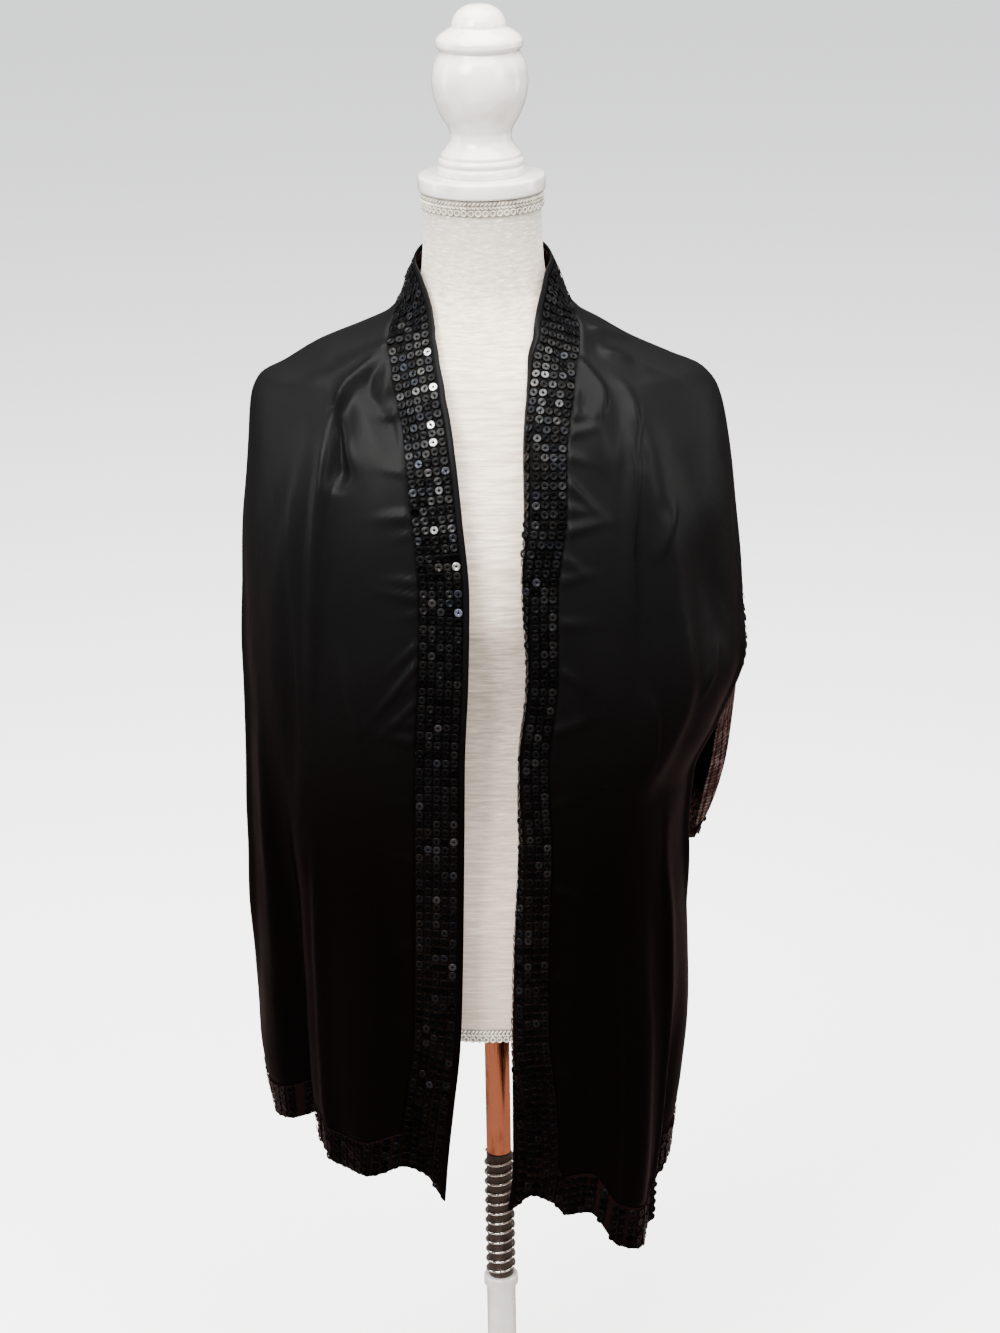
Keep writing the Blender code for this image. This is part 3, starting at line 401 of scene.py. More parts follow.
def smooth_line(places: Sequence[float], values: Sequence[float]) -> Line:
    """Makes a function that passes through the values, smoothly and with no overshoot.

    Args:
        places: where the values are, rising.
        values: the value at each place.

    Returns:
        A function of a place or an array of places.
    """
    x = np.asarray(places, float)
    y = np.asarray(values, float)
    gaps = np.diff(x)
    slopes = np.diff(y) / gaps
    tangents = np.zeros(len(x))
    tangents[0] = slopes[0]
    tangents[-1] = slopes[-1]
    same_way = slopes[:-1] * slopes[1:] > 0
    before = 2 * gaps[1:] + gaps[:-1]
    after = gaps[1:] + 2 * gaps[:-1]
    safe_left = np.where(same_way, slopes[:-1], 1.0)
    safe_right = np.where(same_way, slopes[1:], 1.0)
    mean = (before + after) / (before / safe_left + after / safe_right)
    tangents[1:-1] = np.where(same_way, mean, 0.0)

    def value(at: Array) -> Array:
        """The value there."""
        at = np.clip(at, x[0], x[-1])
        cell = np.clip(np.searchsorted(x, at) - 1, 0, len(x) - 2)
        share = (at - x[cell]) / gaps[cell]
        square = share * share
        cube = square * share
        return (
            y[cell] * (2 * cube - 3 * square + 1)
            + y[cell + 1] * (3 * square - 2 * cube)
            + gaps[cell] * tangents[cell] * (cube - 2 * square + share)
            + gaps[cell] * tangents[cell + 1] * (cube - square)
        )

    return value


def column(rows: Sequence[NamedTuple], name: str) -> Line:
    """A table's column as a function of its height."""
    return smooth_line([row.height for row in rows], [getattr(row, name) for row in rows])


def smooth_step(share: Array) -> Array:
    """0 to 1 with flat ends."""
    share = np.clip(share, 0.0, 1.0)
    return share * share * (3 - 2 * share)


def oval(angle: Array, half_width: Array, depth: Array, pinch: Array) -> tuple[Array, Array]:
    """A point of a body's level cut at an angle from the front, in radians."""
    across = half_width * np.sin(angle)
    towards = -depth * np.cos(angle) * (1 - pinch * np.sin(angle) ** 2)
    return across, towards


@dataclass(frozen=True)
class Ripple:
    """The slight unevenness of worn cloth: a few long waves that die out where it lies on the shoulders."""

    waves: int = 14
    shortest: float = 0.045
    longest: float = 0.160
    height: float = 0.0011
    flat_above: float = 1.110
    fade: float = 0.090

    def lift(self, points: Array) -> Array:
        """How far the waves lift each point."""
        chance = np.random.default_rng(SEED)
        total = np.zeros(points.shape[:-1])
        for _ in range(self.waves):
            way = chance.normal(size=3) * (1.0, 1.0, 0.45)
            way /= np.linalg.norm(way)
            length = chance.uniform(self.shortest, self.longest)
            phase = chance.uniform(0.0, math.tau)
            total += length * np.sin(points @ way * math.tau / length + phase)
        total *= self.height / (self.longest * math.sqrt(self.waves / 2))
        return total * smooth_step((self.flat_above - points[..., 2]) / self.fade)


class Drape:
    """The form that the worn cloth takes, as points at an angle round the body and a height."""

    STEEP_SHARE = 0.42

    def __init__(self) -> None:
        self.columns = {name: column(SECTIONS, name) for name in Section._fields[1:]}
        self.hems = [
            smooth_line([math.radians(angle) for angle, _ in marks], [height for _, height in marks])
            for marks in (LEFT_HEM, RIGHT_HEM)
        ]
        self.ripple = Ripple()
        self.folds = [(fold, self.fold_line(fold)) for fold in FOLDS + CREASES]

    def base(self, angle: Array, height: Array) -> Array:
        """A point of the smooth form, before the folds and the wave of the hem."""
        angle = np.asarray(angle, float)
        height = np.asarray(height, float)
        at_front = np.cos(angle) >= 0
        read = {name: value(height) for name, value in self.columns.items()}
        turn = np.degrees(np.abs(angle))
        to_back = smooth_step((turn - read["left_parting"]) / PARTING_FADE + 0.5)
        left = read["left_front"] + (read["left_back"] - read["left_front"]) * to_back
        to_back = smooth_step((turn - read["right_parting"]) / PARTING_FADE + 0.5)
        right = read["right_front"] + (read["right_back"] - read["right_front"]) * to_back
        depth = np.where(at_front, read["front_depth"], read["back_depth"])
        pinch = np.where(at_front, read["front_pinch"], read["back_pinch"])
        x, y = oval(angle, np.where(angle < 0, left, right), depth, pinch)
        return np.stack([x, y, height + 0 * x], axis=-1)

    def steps(self, angle: Array, height: Array) -> tuple[Array, Array, Array]:
        """The two directions of the form at a point, and its outward normal."""
        small = 1e-4
        by_angle = (self.base(angle + small, height) - self.base(angle - small, height)) / (2 * small)
        by_height = (self.base(angle, height + small) - self.base(angle, height - small)) / (2 * small)
        normal = np.cross(by_angle, by_height)
        normal /= np.linalg.norm(normal, axis=-1, keepdims=True)
        return by_angle, by_height, normal

    def fold_line(self, fold: Fold) -> Array:
        """Points along a fold's middle on the smooth form."""
        share = np.linspace(0.0, 1.0, 21)
        angle = fold.top_angle + (fold.foot_angle - fold.top_angle) * share
        angle = angle + fold.bow * np.sin(math.pi * share)
        height = fold.top_height + (fold.foot_height - fold.top_height) * share
        return self.base(np.radians(angle), height)

    def raised(self, points: Array, angle: Array) -> Array:
        """How far the folds lift each point of the smooth form.

        Args:
            points: places on the smooth form.
            angle: their angles round the body, which say on which side of a fold each one is.

        Returns:
            The lift of each point along the outward normal.
        """
        lift = np.zeros(points.shape[:-1])
        level = np.stack([np.cos(angle), np.sin(angle), 0 * angle], axis=-1)
        for fold, line in self.folds:
            near_by = np.linalg.norm(points - line.mean(axis=0), axis=-1)
            reach = np.linalg.norm(line - line.mean(axis=0), axis=1).max() + 3.2 * fold.width
            chosen = near_by < reach
            if not chosen.any():
                continue
            starts = line[:-1]
            runs = line[1:] - line[:-1]
            offset = points[chosen][:, None, :] - starts
            share = np.clip((offset * runs).sum(-1) / (runs * runs).sum(-1), 0.0, 1.0)
            offset = offset - share[..., None] * runs
            distance = np.linalg.norm(offset, axis=-1)
            nearest = distance.argmin(-1)
            pick = np.arange(len(nearest))
            near = distance[pick, nearest]
            along = (nearest + share[pick, nearest]) / len(runs)
            side = np.sign((offset[pick, nearest] * level[chosen]).sum(-1))
            width = fold.width * np.where(side * fold.steep > 0, self.STEEP_SHARE, 1.0)
            rise = smooth_step(along / fold.fade_in) if fold.fade_in else 1.0
            die = smooth_step((1 - along) / fold.fade_out) if fold.fade_out else 1.0
            lift[chosen] += fold.depth * np.exp(-((near / width) ** 2)) * rise * die
        return lift

    def hem_shift(self, angle: Array, height: Array) -> Array:
        """How far the wave of the hem moves a point up."""
        wave = np.where(angle < 0, self.hems[0](np.abs(angle)), self.hems[1](np.abs(angle)))
        fade = smooth_step(1 - (height - HEM_LEVEL) / HEM_FADE)
        return (wave - HEM_LEVEL) * fade

    def cloth(self, angle: Array, height: Array, out: float | Array = 0.0) -> Array:
        """A point of the cloth's middle surface, moved out along the normal.

        Args:
            angle: angles from the front in radians, below 0 on the left.
            height: heights before the wave of the hem.
            out: the distance to move out, one number or one for each point.

        Returns:
            The points, with one more axis than the angles.
        """
        points = self.base(angle, height)
        normal = self.steps(angle, height)[2]
        lift = self.raised(points, np.asarray(angle)) + self.ripple.lift(points) + out
        points = points + normal * lift[..., None]
        points[..., 2] += self.hem_shift(np.asarray(angle), np.asarray(height))
        return points


class Edge:
    """A long edge of the cloth on one side, from the hem to the centre back."""

    def __init__(self, drape: Drape, angles: Sequence[float], heights: Sequence[float]) -> None:
        self.drape = drape
        points = drape.base(np.asarray(angles), np.asarray(heights))
        runs = np.linalg.norm(np.diff(points, axis=0), axis=1)
        marks = np.concatenate([[0.0], np.cumsum(runs)])
        self.length = float(marks[-1])
        self.angle = smooth_line(marks, angles)
        self.height = smooth_line(marks, heights)

    def course(self, lengths: Array, reach: float) -> Array:
        """The steps along the edge, from reach behind each place to reach ahead of it."""
        ends = lengths - reach, lengths + reach
        behind, ahead = (self.drape.base(self.angle(at), self.height(at)) for at in ends)
        return ahead - behind

    def walk(self, lengths: Array, distance: Array, inward: int) -> tuple[Array, Array]:
        """Goes straight in from the edge over the cloth.

        Args:
            lengths: places along the edge, broadcast against distance.
            distance: how far to go in.
            inward: the sign of the turn from the edge's direction to the inside.

        Returns:
            The angles and heights that are reached.
        """
        angle = self.angle(lengths)
        height = self.height(lengths)
        way = np.cross(self.drape.steps(angle, height)[2], self.course(lengths, EDGE_REACH)) * inward
        for _ in range(WALK_STEPS):
            by_angle, by_height, normal = self.drape.steps(angle, height)
            way = way - normal * (way * normal).sum(-1, keepdims=True)
            way /= np.linalg.norm(way, axis=-1, keepdims=True)
            step = way * (distance / WALK_STEPS)
            aa = (by_angle * by_angle).sum(-1)
            hh = (by_height * by_height).sum(-1)
            ah = (by_angle * by_height).sum(-1)
            sa = (by_angle * step).sum(-1)
            sh = (by_height * step).sum(-1)
            whole = aa * hh - ah * ah
            angle = angle + (sa * hh - sh * ah) / whole
            height = height + (sh * aa - sa * ah) / whole
        return angle, height


def read_threads(places: Array, along: Array, *values: Array) -> tuple[Array, ...]:
    """Each thread's values at places along it."""
    return tuple(np.array([np.interp(*row) for row in zip(places, along, value)]) for value in values)


class Half:
    """One side of the stole, from its front hem to the centre back."""

    def __init__(self, drape: Drape, side: Side, outer_turns: Profile, matches: Profile) -> None:
        self.drape = drape
        self.side = side.value
        name = side.name.lower()
        front = column(SECTIONS, name + "_front")
        angles = [
            self.side * math.asin(getattr(mark, name) / float(front(mark.height))) for mark in FRONT_EDGES
        ]
        heights = [mark.height for mark in FRONT_EDGES]
        angles += [self.side * math.radians(angle) for angle, _ in NECK_TURN]
        heights += [height for _, height in NECK_TURN]
        self.inner = Edge(drape, angles, heights)
        outer_angles = [self.side * math.radians(angle) for angle, _ in outer_turns]
        outer_heights = [HEM_LEVEL] + [height for _, height in outer_turns[1:]]
        self.outer = Edge(drape, outer_angles, outer_heights)
        self.partner = smooth_line(*zip(*matches, (self.inner.length, self.outer.length)))
        self.under = column(FRONT_EDGES, name + "_under")
        self.fine = np.linspace(0.0, self.inner.length, FINE_ROWS)
        threads = drape.base(*self.across(self.fine, np.linspace(0.0, 1.0, 9)))
        widest = np.linalg.norm(np.diff(threads, axis=0), axis=2).max(axis=1)
        self.spread = np.concatenate([[0.0], np.cumsum(widest)])

    def even(self, start: float, end: float, step: float) -> Array:
        """Lengths along the neck edge whose threads across are about one step apart at their widest."""
        low, high = np.interp([start, end], self.fine, self.spread)
        marks = np.linspace(low, high, max(2, round((high - low) / step) + 1))
        return np.interp(marks, self.spread, self.fine)

    def facing(self, outer_lengths: Array) -> Array:
        """The lengths along the neck edge whose threads meet the outer edge at those lengths."""
        return np.interp(outer_lengths, self.partner(self.fine), self.fine)

    def from_neck_edge(self, lengths: Array, distance: Array) -> tuple[Array, Array, Array]:
        """Finds places at a distance in from the neck edge, which rolls in to the body.

        Args:
            lengths: places along the edge, with a last axis of 1 that broadcasts against distance.
            distance: how far in, along the cloth.

        Returns:
            Angles, heights and offsets out.
        """
        under = self.under(self.inner.height(lengths))
        roll = np.radians(np.minimum(ROLL_PER_WIDTH * under, ROLL_MOST))
        arc = ROLL_RADIUS * roll
        tail = np.maximum(under - arc / 2, 0.0)
        start = ROLL_RADIUS * np.sin(np.minimum(roll, math.pi / 2)) + np.maximum(np.cos(roll), 0.0) * tail
        past = under + arc / 2 - distance
        bend = np.clip(past / ROLL_RADIUS, 0.0, roll)
        beyond = np.maximum(past - arc, 0.0)
        run = start + np.maximum(-past, 0.0) - ROLL_RADIUS * np.sin(bend) - beyond * np.cos(roll)
        out = -ROLL_RADIUS * (1 - np.cos(bend)) - beyond * np.sin(roll)
        angle, height = self.inner.walk(lengths, run[..., None], -self.side)
        return angle, height, out

    def threads(self, lengths: Array) -> tuple[Array, Array, Array, Array]:
        """Fine threads across from the neck band's border to the outer edge.

        Args:
            lengths: places along the neck edge, one for each thread.

        Returns:
            The threads' angles, heights, how far along each point is, and the outer band's length on each.
        """
        clear = np.full(lengths.shape, BINDING_WIDTH + BAND_WIDTH + SEAM_GAP - TUCK)
        angle_in, height_in, _ = self.from_neck_edge(lengths, clear)
        at_edge = self.partner(lengths)
        angle_out = self.outer.angle(at_edge)
        height_out = self.outer.height(at_edge)
        share = np.linspace(0.0, 1.0, THREAD_POINTS)
        angle = angle_in[:, None] + (angle_out - angle_in)[:, None] * share * (1 + THREAD_BOW * (1 - share))
        height = height_in[:, None] + (height_out - height_in)[:, None] * share
        points = self.drape.base(angle, height)
        steps = np.diff(points, axis=1)
        runs = np.linalg.norm(steps, axis=2)
        along = np.concatenate([np.zeros((len(lengths), 1)), np.cumsum(runs, axis=1)], axis=1)
        edge = self.outer.course(at_edge, EDGE_STEP)
        slant = np.linalg.norm(np.cross(edge, steps[:, -1]), axis=1)
        slant /= np.linalg.norm(edge, axis=1) * runs[:, -1]
        return angle, height, along, BAND_WIDTH / np.maximum(slant, LEAST_SLANT)

    def from_outer_edge(self, lengths: Array, distances: Array) -> tuple[Array, Array]:
        """Angles and heights at distances in from the outer edge, across from each length."""
        angle, height, along, band = self.threads(lengths)
        places = along[:, -1:] - band[:, None] * distances / BAND_WIDTH
        return read_threads(places, along, angle, height)

    def across(self, lengths: Array, shares: Array) -> tuple[Array, Array]:
        """Angles and heights from under one band to under the other, spread over each thread."""
        angle, height, along, band = self.threads(lengths)
        places = shares * (along[:, -1] - band * (1 - TUCK / BAND_WIDTH))[:, None]
        return read_threads(places, along, angle, height)

    def reach(self, lengths: Array) -> Array:
        """How long each thread is from under one band to under the other."""
        _, _, along, band = self.threads(lengths)
        return along[:, -1] - band * (1 - TUCK / BAND_WIDTH)


def both_ways(left_rows: Array, right_rows: Array) -> Array:
    """Rows from the left hem round the nape to the right hem, with the centre back once."""
    return np.concatenate([left_rows, right_rows[::-1][1:]])


class Graph:
    """Adds and links shader nodes in one tree."""

    def __init__(self, tree: Tree) -> None:
        self.tree = tree

    def feed(self, socket: Socket, value: Socket | float | tuple) -> None:
        """Links a socket to an input, or sets the input's plain value."""
        if isinstance(value, Socket):
            self.tree.links.new(value, socket)
        else:
            socket.default_value = value

    def node(self, kind: str, inputs: dict | None = None, **settings: object) -> Node:
        """Adds a node.

        Args:
            kind: the node's type.
            inputs: a socket to link or a plain value, for each input's name or index.
            settings: the node's own settings.

        Returns:
            The node.
        """
        made = self.tree.nodes.new(kind)
        for name, value in settings.items():
            setattr(made, name, value)
        for name, value in (inputs or {}).items():
            self.feed(made.inputs[name], value)
        return made

    def shared(self, group: Tree, **inputs: Socket) -> Sequence[Socket]:
        """The outputs of a use of a shared group."""
        return self.node("ShaderNodeGroup", inputs, node_tree=group).outputs

    def flat(self) -> Socket:
        """The place on the flat cloth, in metres."""
        return self.node("ShaderNodeUVMap").outputs[0]

    def place(self) -> Socket:
        """The place in the shared frame."""
        return self.node("ShaderNodeTexCoord").outputs["Object"]

    def fact(self, name: str) -> Socket:
        """A number that the mesh holds for each point."""
        return self.node("ShaderNodeAttribute", attribute_name=name).outputs["Fac"]

    def math(self, operation: str, first: Socket, second: Socket | float = 0.0) -> Socket:
        """A sum on two numbers."""
        return self.node("ShaderNodeMath", {0: first, 1: second}, operation=operation).outputs[0]

    def times(self, first: Socket, second: Socket | float) -> Socket:
        """One number times the other."""
        return self.math("MULTIPLY", first, second)

    def plus(self, first: Socket, second: Socket | float) -> Socket:
        """One number plus the other."""
        return self.math("ADD", first, second)

    def size(self, value: Socket) -> Socket:
        """A number without its sign."""
        return self.math("ABSOLUTE", value)

    def mix(self, factor: Socket, first: Socket | Colour, second: Socket | Colour) -> Socket:
        """A blend of two colours."""
        first, second = (c if isinstance(c, Socket) else (*c, 1.0) for c in (first, second))
        return self.node("ShaderNodeMix", {0: factor, 6: first, 7: second}, data_type="RGBA").outputs[2]

    def noise(
        self, vector: Socket, scale: float | Colour, detail: float = 3.0, roughness: float = 0.5
    ) -> Socket:
        """Soft noise from 0 to 1, at one scale or at one for each axis."""
        if isinstance(scale, tuple):
            vector = self.node("ShaderNodeMapping", {"Vector": vector, "Scale": scale}).outputs[0]
            scale = 1.0
        inputs = {"Vector": vector, "Scale": scale, "Detail": detail, "Roughness": roughness}
        return self.node("ShaderNodeTexNoise", inputs).outputs["Fac"]

    def spread(
        self, value: Socket, low: float, high: float, to_low: float = 0.0, to_high: float = 1.0
    ) -> Socket:
        """A number moved smoothly from one range to another."""
        inputs = {"Value": value, "From Min": low, "From Max": high, "To Min": to_low, "To Max": to_high}
        return self.node("ShaderNodeMapRange", inputs, interpolation_type="SMOOTHSTEP").outputs[0]

    def bump(
        self, height: Socket, distance: float, strength: float = 1.0, normal: Socket | None = None
    ) -> Socket:
        """A normal bent by a height."""
        inputs = {"Height": height, "Distance": distance, "Strength": strength}
        if normal is not None:
            inputs["Normal"] = normal
        return self.node("ShaderNodeBump", inputs).outputs[0]

    def parts(self, vector: Socket) -> Sequence[Socket]:
        """The three numbers of a vector."""
        return self.node("ShaderNodeSeparateXYZ", {0: vector}).outputs


class Effect(Graph):
    """A shared shader effect, kept as one node group whose first input is a place."""

    def __init__(self, name: str, *inputs: str) -> None:
        super().__init__(bpy.data.node_groups.new(name, "ShaderNodeTree"))
        self.socket("Vector", "INPUT", "Vector")
        for title in inputs:
            self.socket(title, "INPUT", "Float")
        self.given = self.tree.nodes.new("NodeGroupInput").outputs
        self.where = self.given["Vector"]

    def socket(self, title: str, way: str, kind: str) -> None:
        """Adds an input or output to the group."""
        self.tree.interface.new_socket(name=title, in_out=way, socket_type="NodeSocket" + kind)

    def give(self, **results: Socket) -> Tree:
        """Adds the outputs, links the results to them and returns the finished group."""
        for title in results:
            self.socket(title, "OUTPUT", "Float")
        found = self.tree.nodes.new("NodeGroupOutput").inputs
        for title, value in results.items():
            self.tree.links.new(value, found[title])
        return self.tree


def satin_weave() -> Tree:
    """Long floats of a satin weave, with soft creasing and an uneven gloss."""
    graph = Effect("satin_weave")
    floats = graph.noise(graph.where, (2400.0, 420.0, 1.0), 2.0, 0.6)
    crease = graph.noise(graph.where, (26.0, 15.0, 1.0), 3.0, 0.48)
    return graph.give(Floats=floats, Crease=crease, Gloss=graph.noise(graph.where, (9.0, 5.0, 1.0), 2.0))


def linen_weave() -> Tree:
    """A plain weave with thick and thin places in its yarns, most of them level."""
    graph = Effect("linen_weave")
    level = graph.noise(graph.where, (60.0, 1100.0, 1.0), 2.0, 0.6)
    upright = graph.noise(graph.where, (1300.0, 40.0, 1.0), 2.0, 0.6)
    slub = graph.spread(graph.noise(graph.where, (42.0, 520.0, 1.0), 3.0, 0.62), 0.50, 0.80)
    shade = graph.spread(graph.noise(graph.where, (38.0, 330.0, 1.0), 4.0, 0.62), 0.34, 0.66)
    yarns = graph.plus(level, graph.times(upright, 0.6))
    return graph.give(Height=graph.plus(yarns, graph.times(slub, 0.8)), Slub=slub, Shade=shade)


def sequin_face() -> Tree:
    """A painted highlight in a ring round a sequin's hole, fading at the rim, with fine rings and the dark
    thread that holds it.
    """
    graph = Effect("sequin_face", "Thread")
    across, along, _ = graph.parts(graph.where)
    radius = graph.node("ShaderNodeVectorMath", {0: graph.where}, operation="LENGTH").outputs["Value"]
    # Painted highlight: bright between the hole and the rim, dimmer at the rim.
    inner = graph.times(graph.spread(radius, 0.22, 0.36), graph.spread(radius, 0.80, 0.97, 1.0, 0.25))
    rings = graph.spread(graph.math("SINE", graph.times(radius, 44.0)), -1.0, 1.0, 0.70, 1.0)
    line = graph.spread(graph.size(along), 0.05, 0.12, 1.0, 0.0)
    thread = graph.times(line, graph.spread(graph.times(across, graph.given["Thread"]), 0.0, 0.05))
    light = graph.times(graph.times(inner, rings), graph.spread(thread, 0.0, 1.0, 1.0, 0.15))
    return graph.give(Light=light)


def sequin_back() -> Tree:
    """The wrong side of a sequin band: pale rings of the backs and zigzag chains of thread."""
    graph = Effect("sequin_back")
    across, along, _ = graph.parts(graph.where)
    side = graph.plus(graph.math("FRACT", graph.math("DIVIDE", across, 0.00735)), -0.5)
    rise = graph.plus(graph.math("FRACT", graph.math("DIVIDE", along, 0.00805)), -0.5)
    radius = graph.math("SQRT", graph.plus(graph.times(side, side), graph.times(rise, rise)))
    disc = graph.spread(graph.size(graph.plus(radius, -0.38)), 0.03, 0.13, 1.0, 0.0)
    sway = graph.times(graph.plus(graph.math("PINGPONG", along, 0.0040), -0.0020), 150.0)
    off = graph.plus(graph.plus(graph.size(side), -0.5), graph.size(sway))
    off = graph.plus(off, graph.spread(graph.noise(graph.where, 160.0, 2.0), 0.2, 0.8, -0.12, 0.12))
    chain = graph.spread(graph.size(off), 0.05, 0.13, 1.0, 0.0)
    worn = graph.spread(graph.noise(graph.where, 75.0, 3.0, 0.6), 0.40, 0.62, 0.15, 1.0)
    chain = graph.times(chain, worn)
    return graph.give(Disc=disc, Chain=chain, Height=graph.plus(disc, graph.times(chain, 1.6)))


def paint_wear() -> Tree:
    """Brushed gloss paint: faint drips and ridges, yellowed patches and a few small chips."""
    graph = Effect("paint_wear")
    brush = graph.noise(graph.where, (60.0, 60.0, 420.0), 3.0, 0.55)
    age = graph.noise(graph.where, 26.0, 3.0, 0.55)
    chip = graph.spread(graph.noise(graph.where, 120.0, 4.0, 0.62), 0.735, 0.755)
    dust = graph.spread(graph.noise(graph.where, 900.0, 3.0, 0.7), 0.62, 0.78)
    return graph.give(Brush=brush, Age=age, Chip=chip, Dust=dust)


def fibre_twist() -> Tree:
    """Fine fibres laid at a slant round a cord."""
    graph = Effect("fibre_twist")
    fibre = graph.noise(graph.where, (900.0, 900.0, 2600.0), 3.0, 0.6)
    return graph.give(Fibre=fibre, Soil=graph.noise(graph.where, 55.0, 3.0, 0.55))


def metal_streaks() -> Tree:
    """Upright polishing streaks and patches of tarnish."""
    graph = Effect("metal_streaks")
    streak = graph.noise(graph.where, (700.0, 700.0, 12.0), 3.0, 0.6)
    return graph.give(Streak=streak, Tarnish=graph.noise(graph.where, (70.0, 70.0, 18.0), 4.0, 0.6))


def fine_lint() -> Tree:
    """Sparse specks and hairs of lint."""
    graph = Effect("fine_lint")
    return graph.give(Lint=graph.spread(graph.noise(graph.where, 420.0, 2.0, 0.7), 0.735, 0.765))


class Effects:
    """The shared effects, each made once."""

    def __init__(self) -> None:
        self.satin = satin_weave()
        self.linen = linen_weave()
        self.face = sequin_face()
        self.back = sequin_back()
        self.wear = paint_wear()
        self.fibre = fibre_twist()
        self.streaks = metal_streaks()
        self.lint = fine_lint()


@dataclass(frozen=True)
class Finish(ABC):
    """A finish that makes its own material."""

    name: str

    @abstractmethod
    def looks(self, graph: Graph, effects: Effects) -> Looks:
        """The main shader's inputs, whose names have _ for each space."""

    def material(self, effects: Effects) -> Material:
        """Builds the material."""
        material = bpy.data.materials.new(self.name)
        material.use_nodes = True
        shader = material.node_tree.nodes["Principled BSDF"]
        graph = Graph(material.node_tree)
        for name, value in self.looks(graph, effects).items():
            graph.feed(shader.inputs[name.replace("_", " ")], value)
        return material


@dataclass(frozen=True)
class SatinFinish(Finish):
    """Black satin, darker and redder towards the hems as painted shade and a painted reflection of a dark
    reddish floor, lighter higher up as painted light.
    """

    # upper is painted light on the higher cloth, lower is painted shade with a painted reddish floor
    # reflection near the hems; they blend between the two heights below.
    upper: Colour = (0.0030, 0.0030, 0.0031)
    lower: Colour = (0.0006, 0.0003, 0.0003)
    reddened: Pair = (0.70, 1.12)
    roughness: Pair = (0.34, 0.46)
    specular: float = 0.030
    crease: float = 0.0011

    def looks(self, graph: Graph, effects: Effects) -> Looks:
        """Soft creases and fine floats, with a few specks of lint."""
        place = graph.place()
        weave = graph.shared(effects.satin, Vector=graph.flat())
        lint = graph.times(graph.shared(effects.lint, Vector=place)["Lint"], 0.25)
        # Painted shade and reflection: the colour runs from the lower one near the hems to the upper one
        # higher up.
        base = graph.mix(graph.spread(graph.parts(place)[2], *self.reddened), self.lower, self.upper)
        base = graph.mix(lint, base, (0.012, 0.012, 0.012))
        rough = graph.spread(weave["Gloss"], 0.30, 0.70, *self.roughness)
        normal = graph.bump(weave["Floats"], 0.00004, 0.5, graph.bump(weave["Crease"], self.crease))
        sheen = dict(Specular_IOR_Level=self.specular, Anisotropic=0.30)
        return dict(Base_Color=base, Roughness=rough, Normal=normal, **sheen)


@dataclass(frozen=True)
class WrongSideFinish(Finish):
    """The cloth's wrong side: dull, with the band's sequin backs and threads where there are any."""

    base: Colour = (0.0042, 0.0010, 0.0010)
    disc: Colour = (0.060, 0.012, 0.014)
    thread: Colour = (0.20, 0.135, 0.120)
    sequined: bool = False

    def looks(self, graph: Graph, effects: Effects) -> Looks:
        """A dull weave, under rings and chains on a band."""
        flat = graph.flat()
        weave = graph.shared(effects.satin, Vector=flat)
        rough = graph.spread(weave["Gloss"], 0.2, 0.8, 0.45, 0.62)
        normal = graph.bump(weave["Floats"], 0.00008, 0.7, graph.bump(weave["Crease"], 0.0008))
        base = graph.mix(weave["Gloss"], self.base, (0.0020, 0.0012, 0.0012))
        if self.sequined:
            back = graph.shared(effects.back, Vector=flat)
            base = graph.mix(graph.times(back["Disc"], 0.55), base, self.disc)
            base = graph.mix(graph.times(back["Chain"], 0.80), base, self.thread)
            normal = graph.bump(back["Height"], 0.0004, 0.8, normal)
        return dict(Base_Color=base, Roughness=rough, Normal=normal, Specular_IOR_Level=0.08)


@dataclass(frozen=True)
class GroundFinish(Finish):
    """The black net and satin ground under the sequins."""

    # lower is a painted reddish reflection of the floor, brighter than upper; they blend between the two
    # heights below.
    upper: Colour = (0.0006, 0.0005, 0.0005)
    lower: Colour = (0.0034, 0.0011, 0.0008)
    reddened: Pair = (0.55, 0.90)

    def looks(self, graph: Graph, effects: Effects) -> Looks:
        """A fine net over an uneven ground."""
        flat = graph.flat()
        net = graph.node("ShaderNodeTexVoronoi", {"Vector": flat, "Scale": 900.0}).outputs["Distance"]
        gloss = graph.times(graph.shared(effects.satin, Vector=flat)["Gloss"], 0.3)
        # Painted reflection: the ground turns redder and brighter lower down.
        base = graph.mix(graph.spread(graph.parts(graph.place())[2], *self.reddened), self.lower, self.upper)
        base = graph.mix(gloss, base, (0.0016, 0.0011, 0.0010))
        rough = graph.spread(net, 0.0, 0.6, 0.48, 0.66)
        normal = graph.bump(net, 0.0002, 0.6)
        return dict(Base_Color=base, Roughness=rough, Normal=normal, Specular_IOR_Level=0.03)


@dataclass(frozen=True)
class SequinFinish(Finish):
    """Gloss black sequins, each with its own tone, a few brighter at random and the listed ones bright as
    painted glints.
    """

    dark: Colour = (0.0006, 0.0005, 0.0005)
    grey: Colour = (0.80, 0.79, 0.76)
    blue: Colour = (0.55, 0.66, 0.92)

    def looks(self, graph: Graph, effects: Effects) -> Looks:
        """Painted highlight rings in the sequin's own tone."""
        light = graph.shared(effects.face, Vector=graph.flat(), Thread=graph.fact("thread"))["Light"]
        shine = graph.mix(graph.fact("blue"), self.grey, self.blue)
        base = graph.mix(graph.times(light, graph.fact("tone")), self.dark, shine)
        rough = graph.spread(light, 0.0, 1.0, 0.34, 0.20)
        metal = dict(Metallic=0.85, Specular_IOR_Level=0.10)
        return dict(Base_Color=base, Roughness=rough, Normal=graph.bump(light, 0.00025, 0.6), **metal)


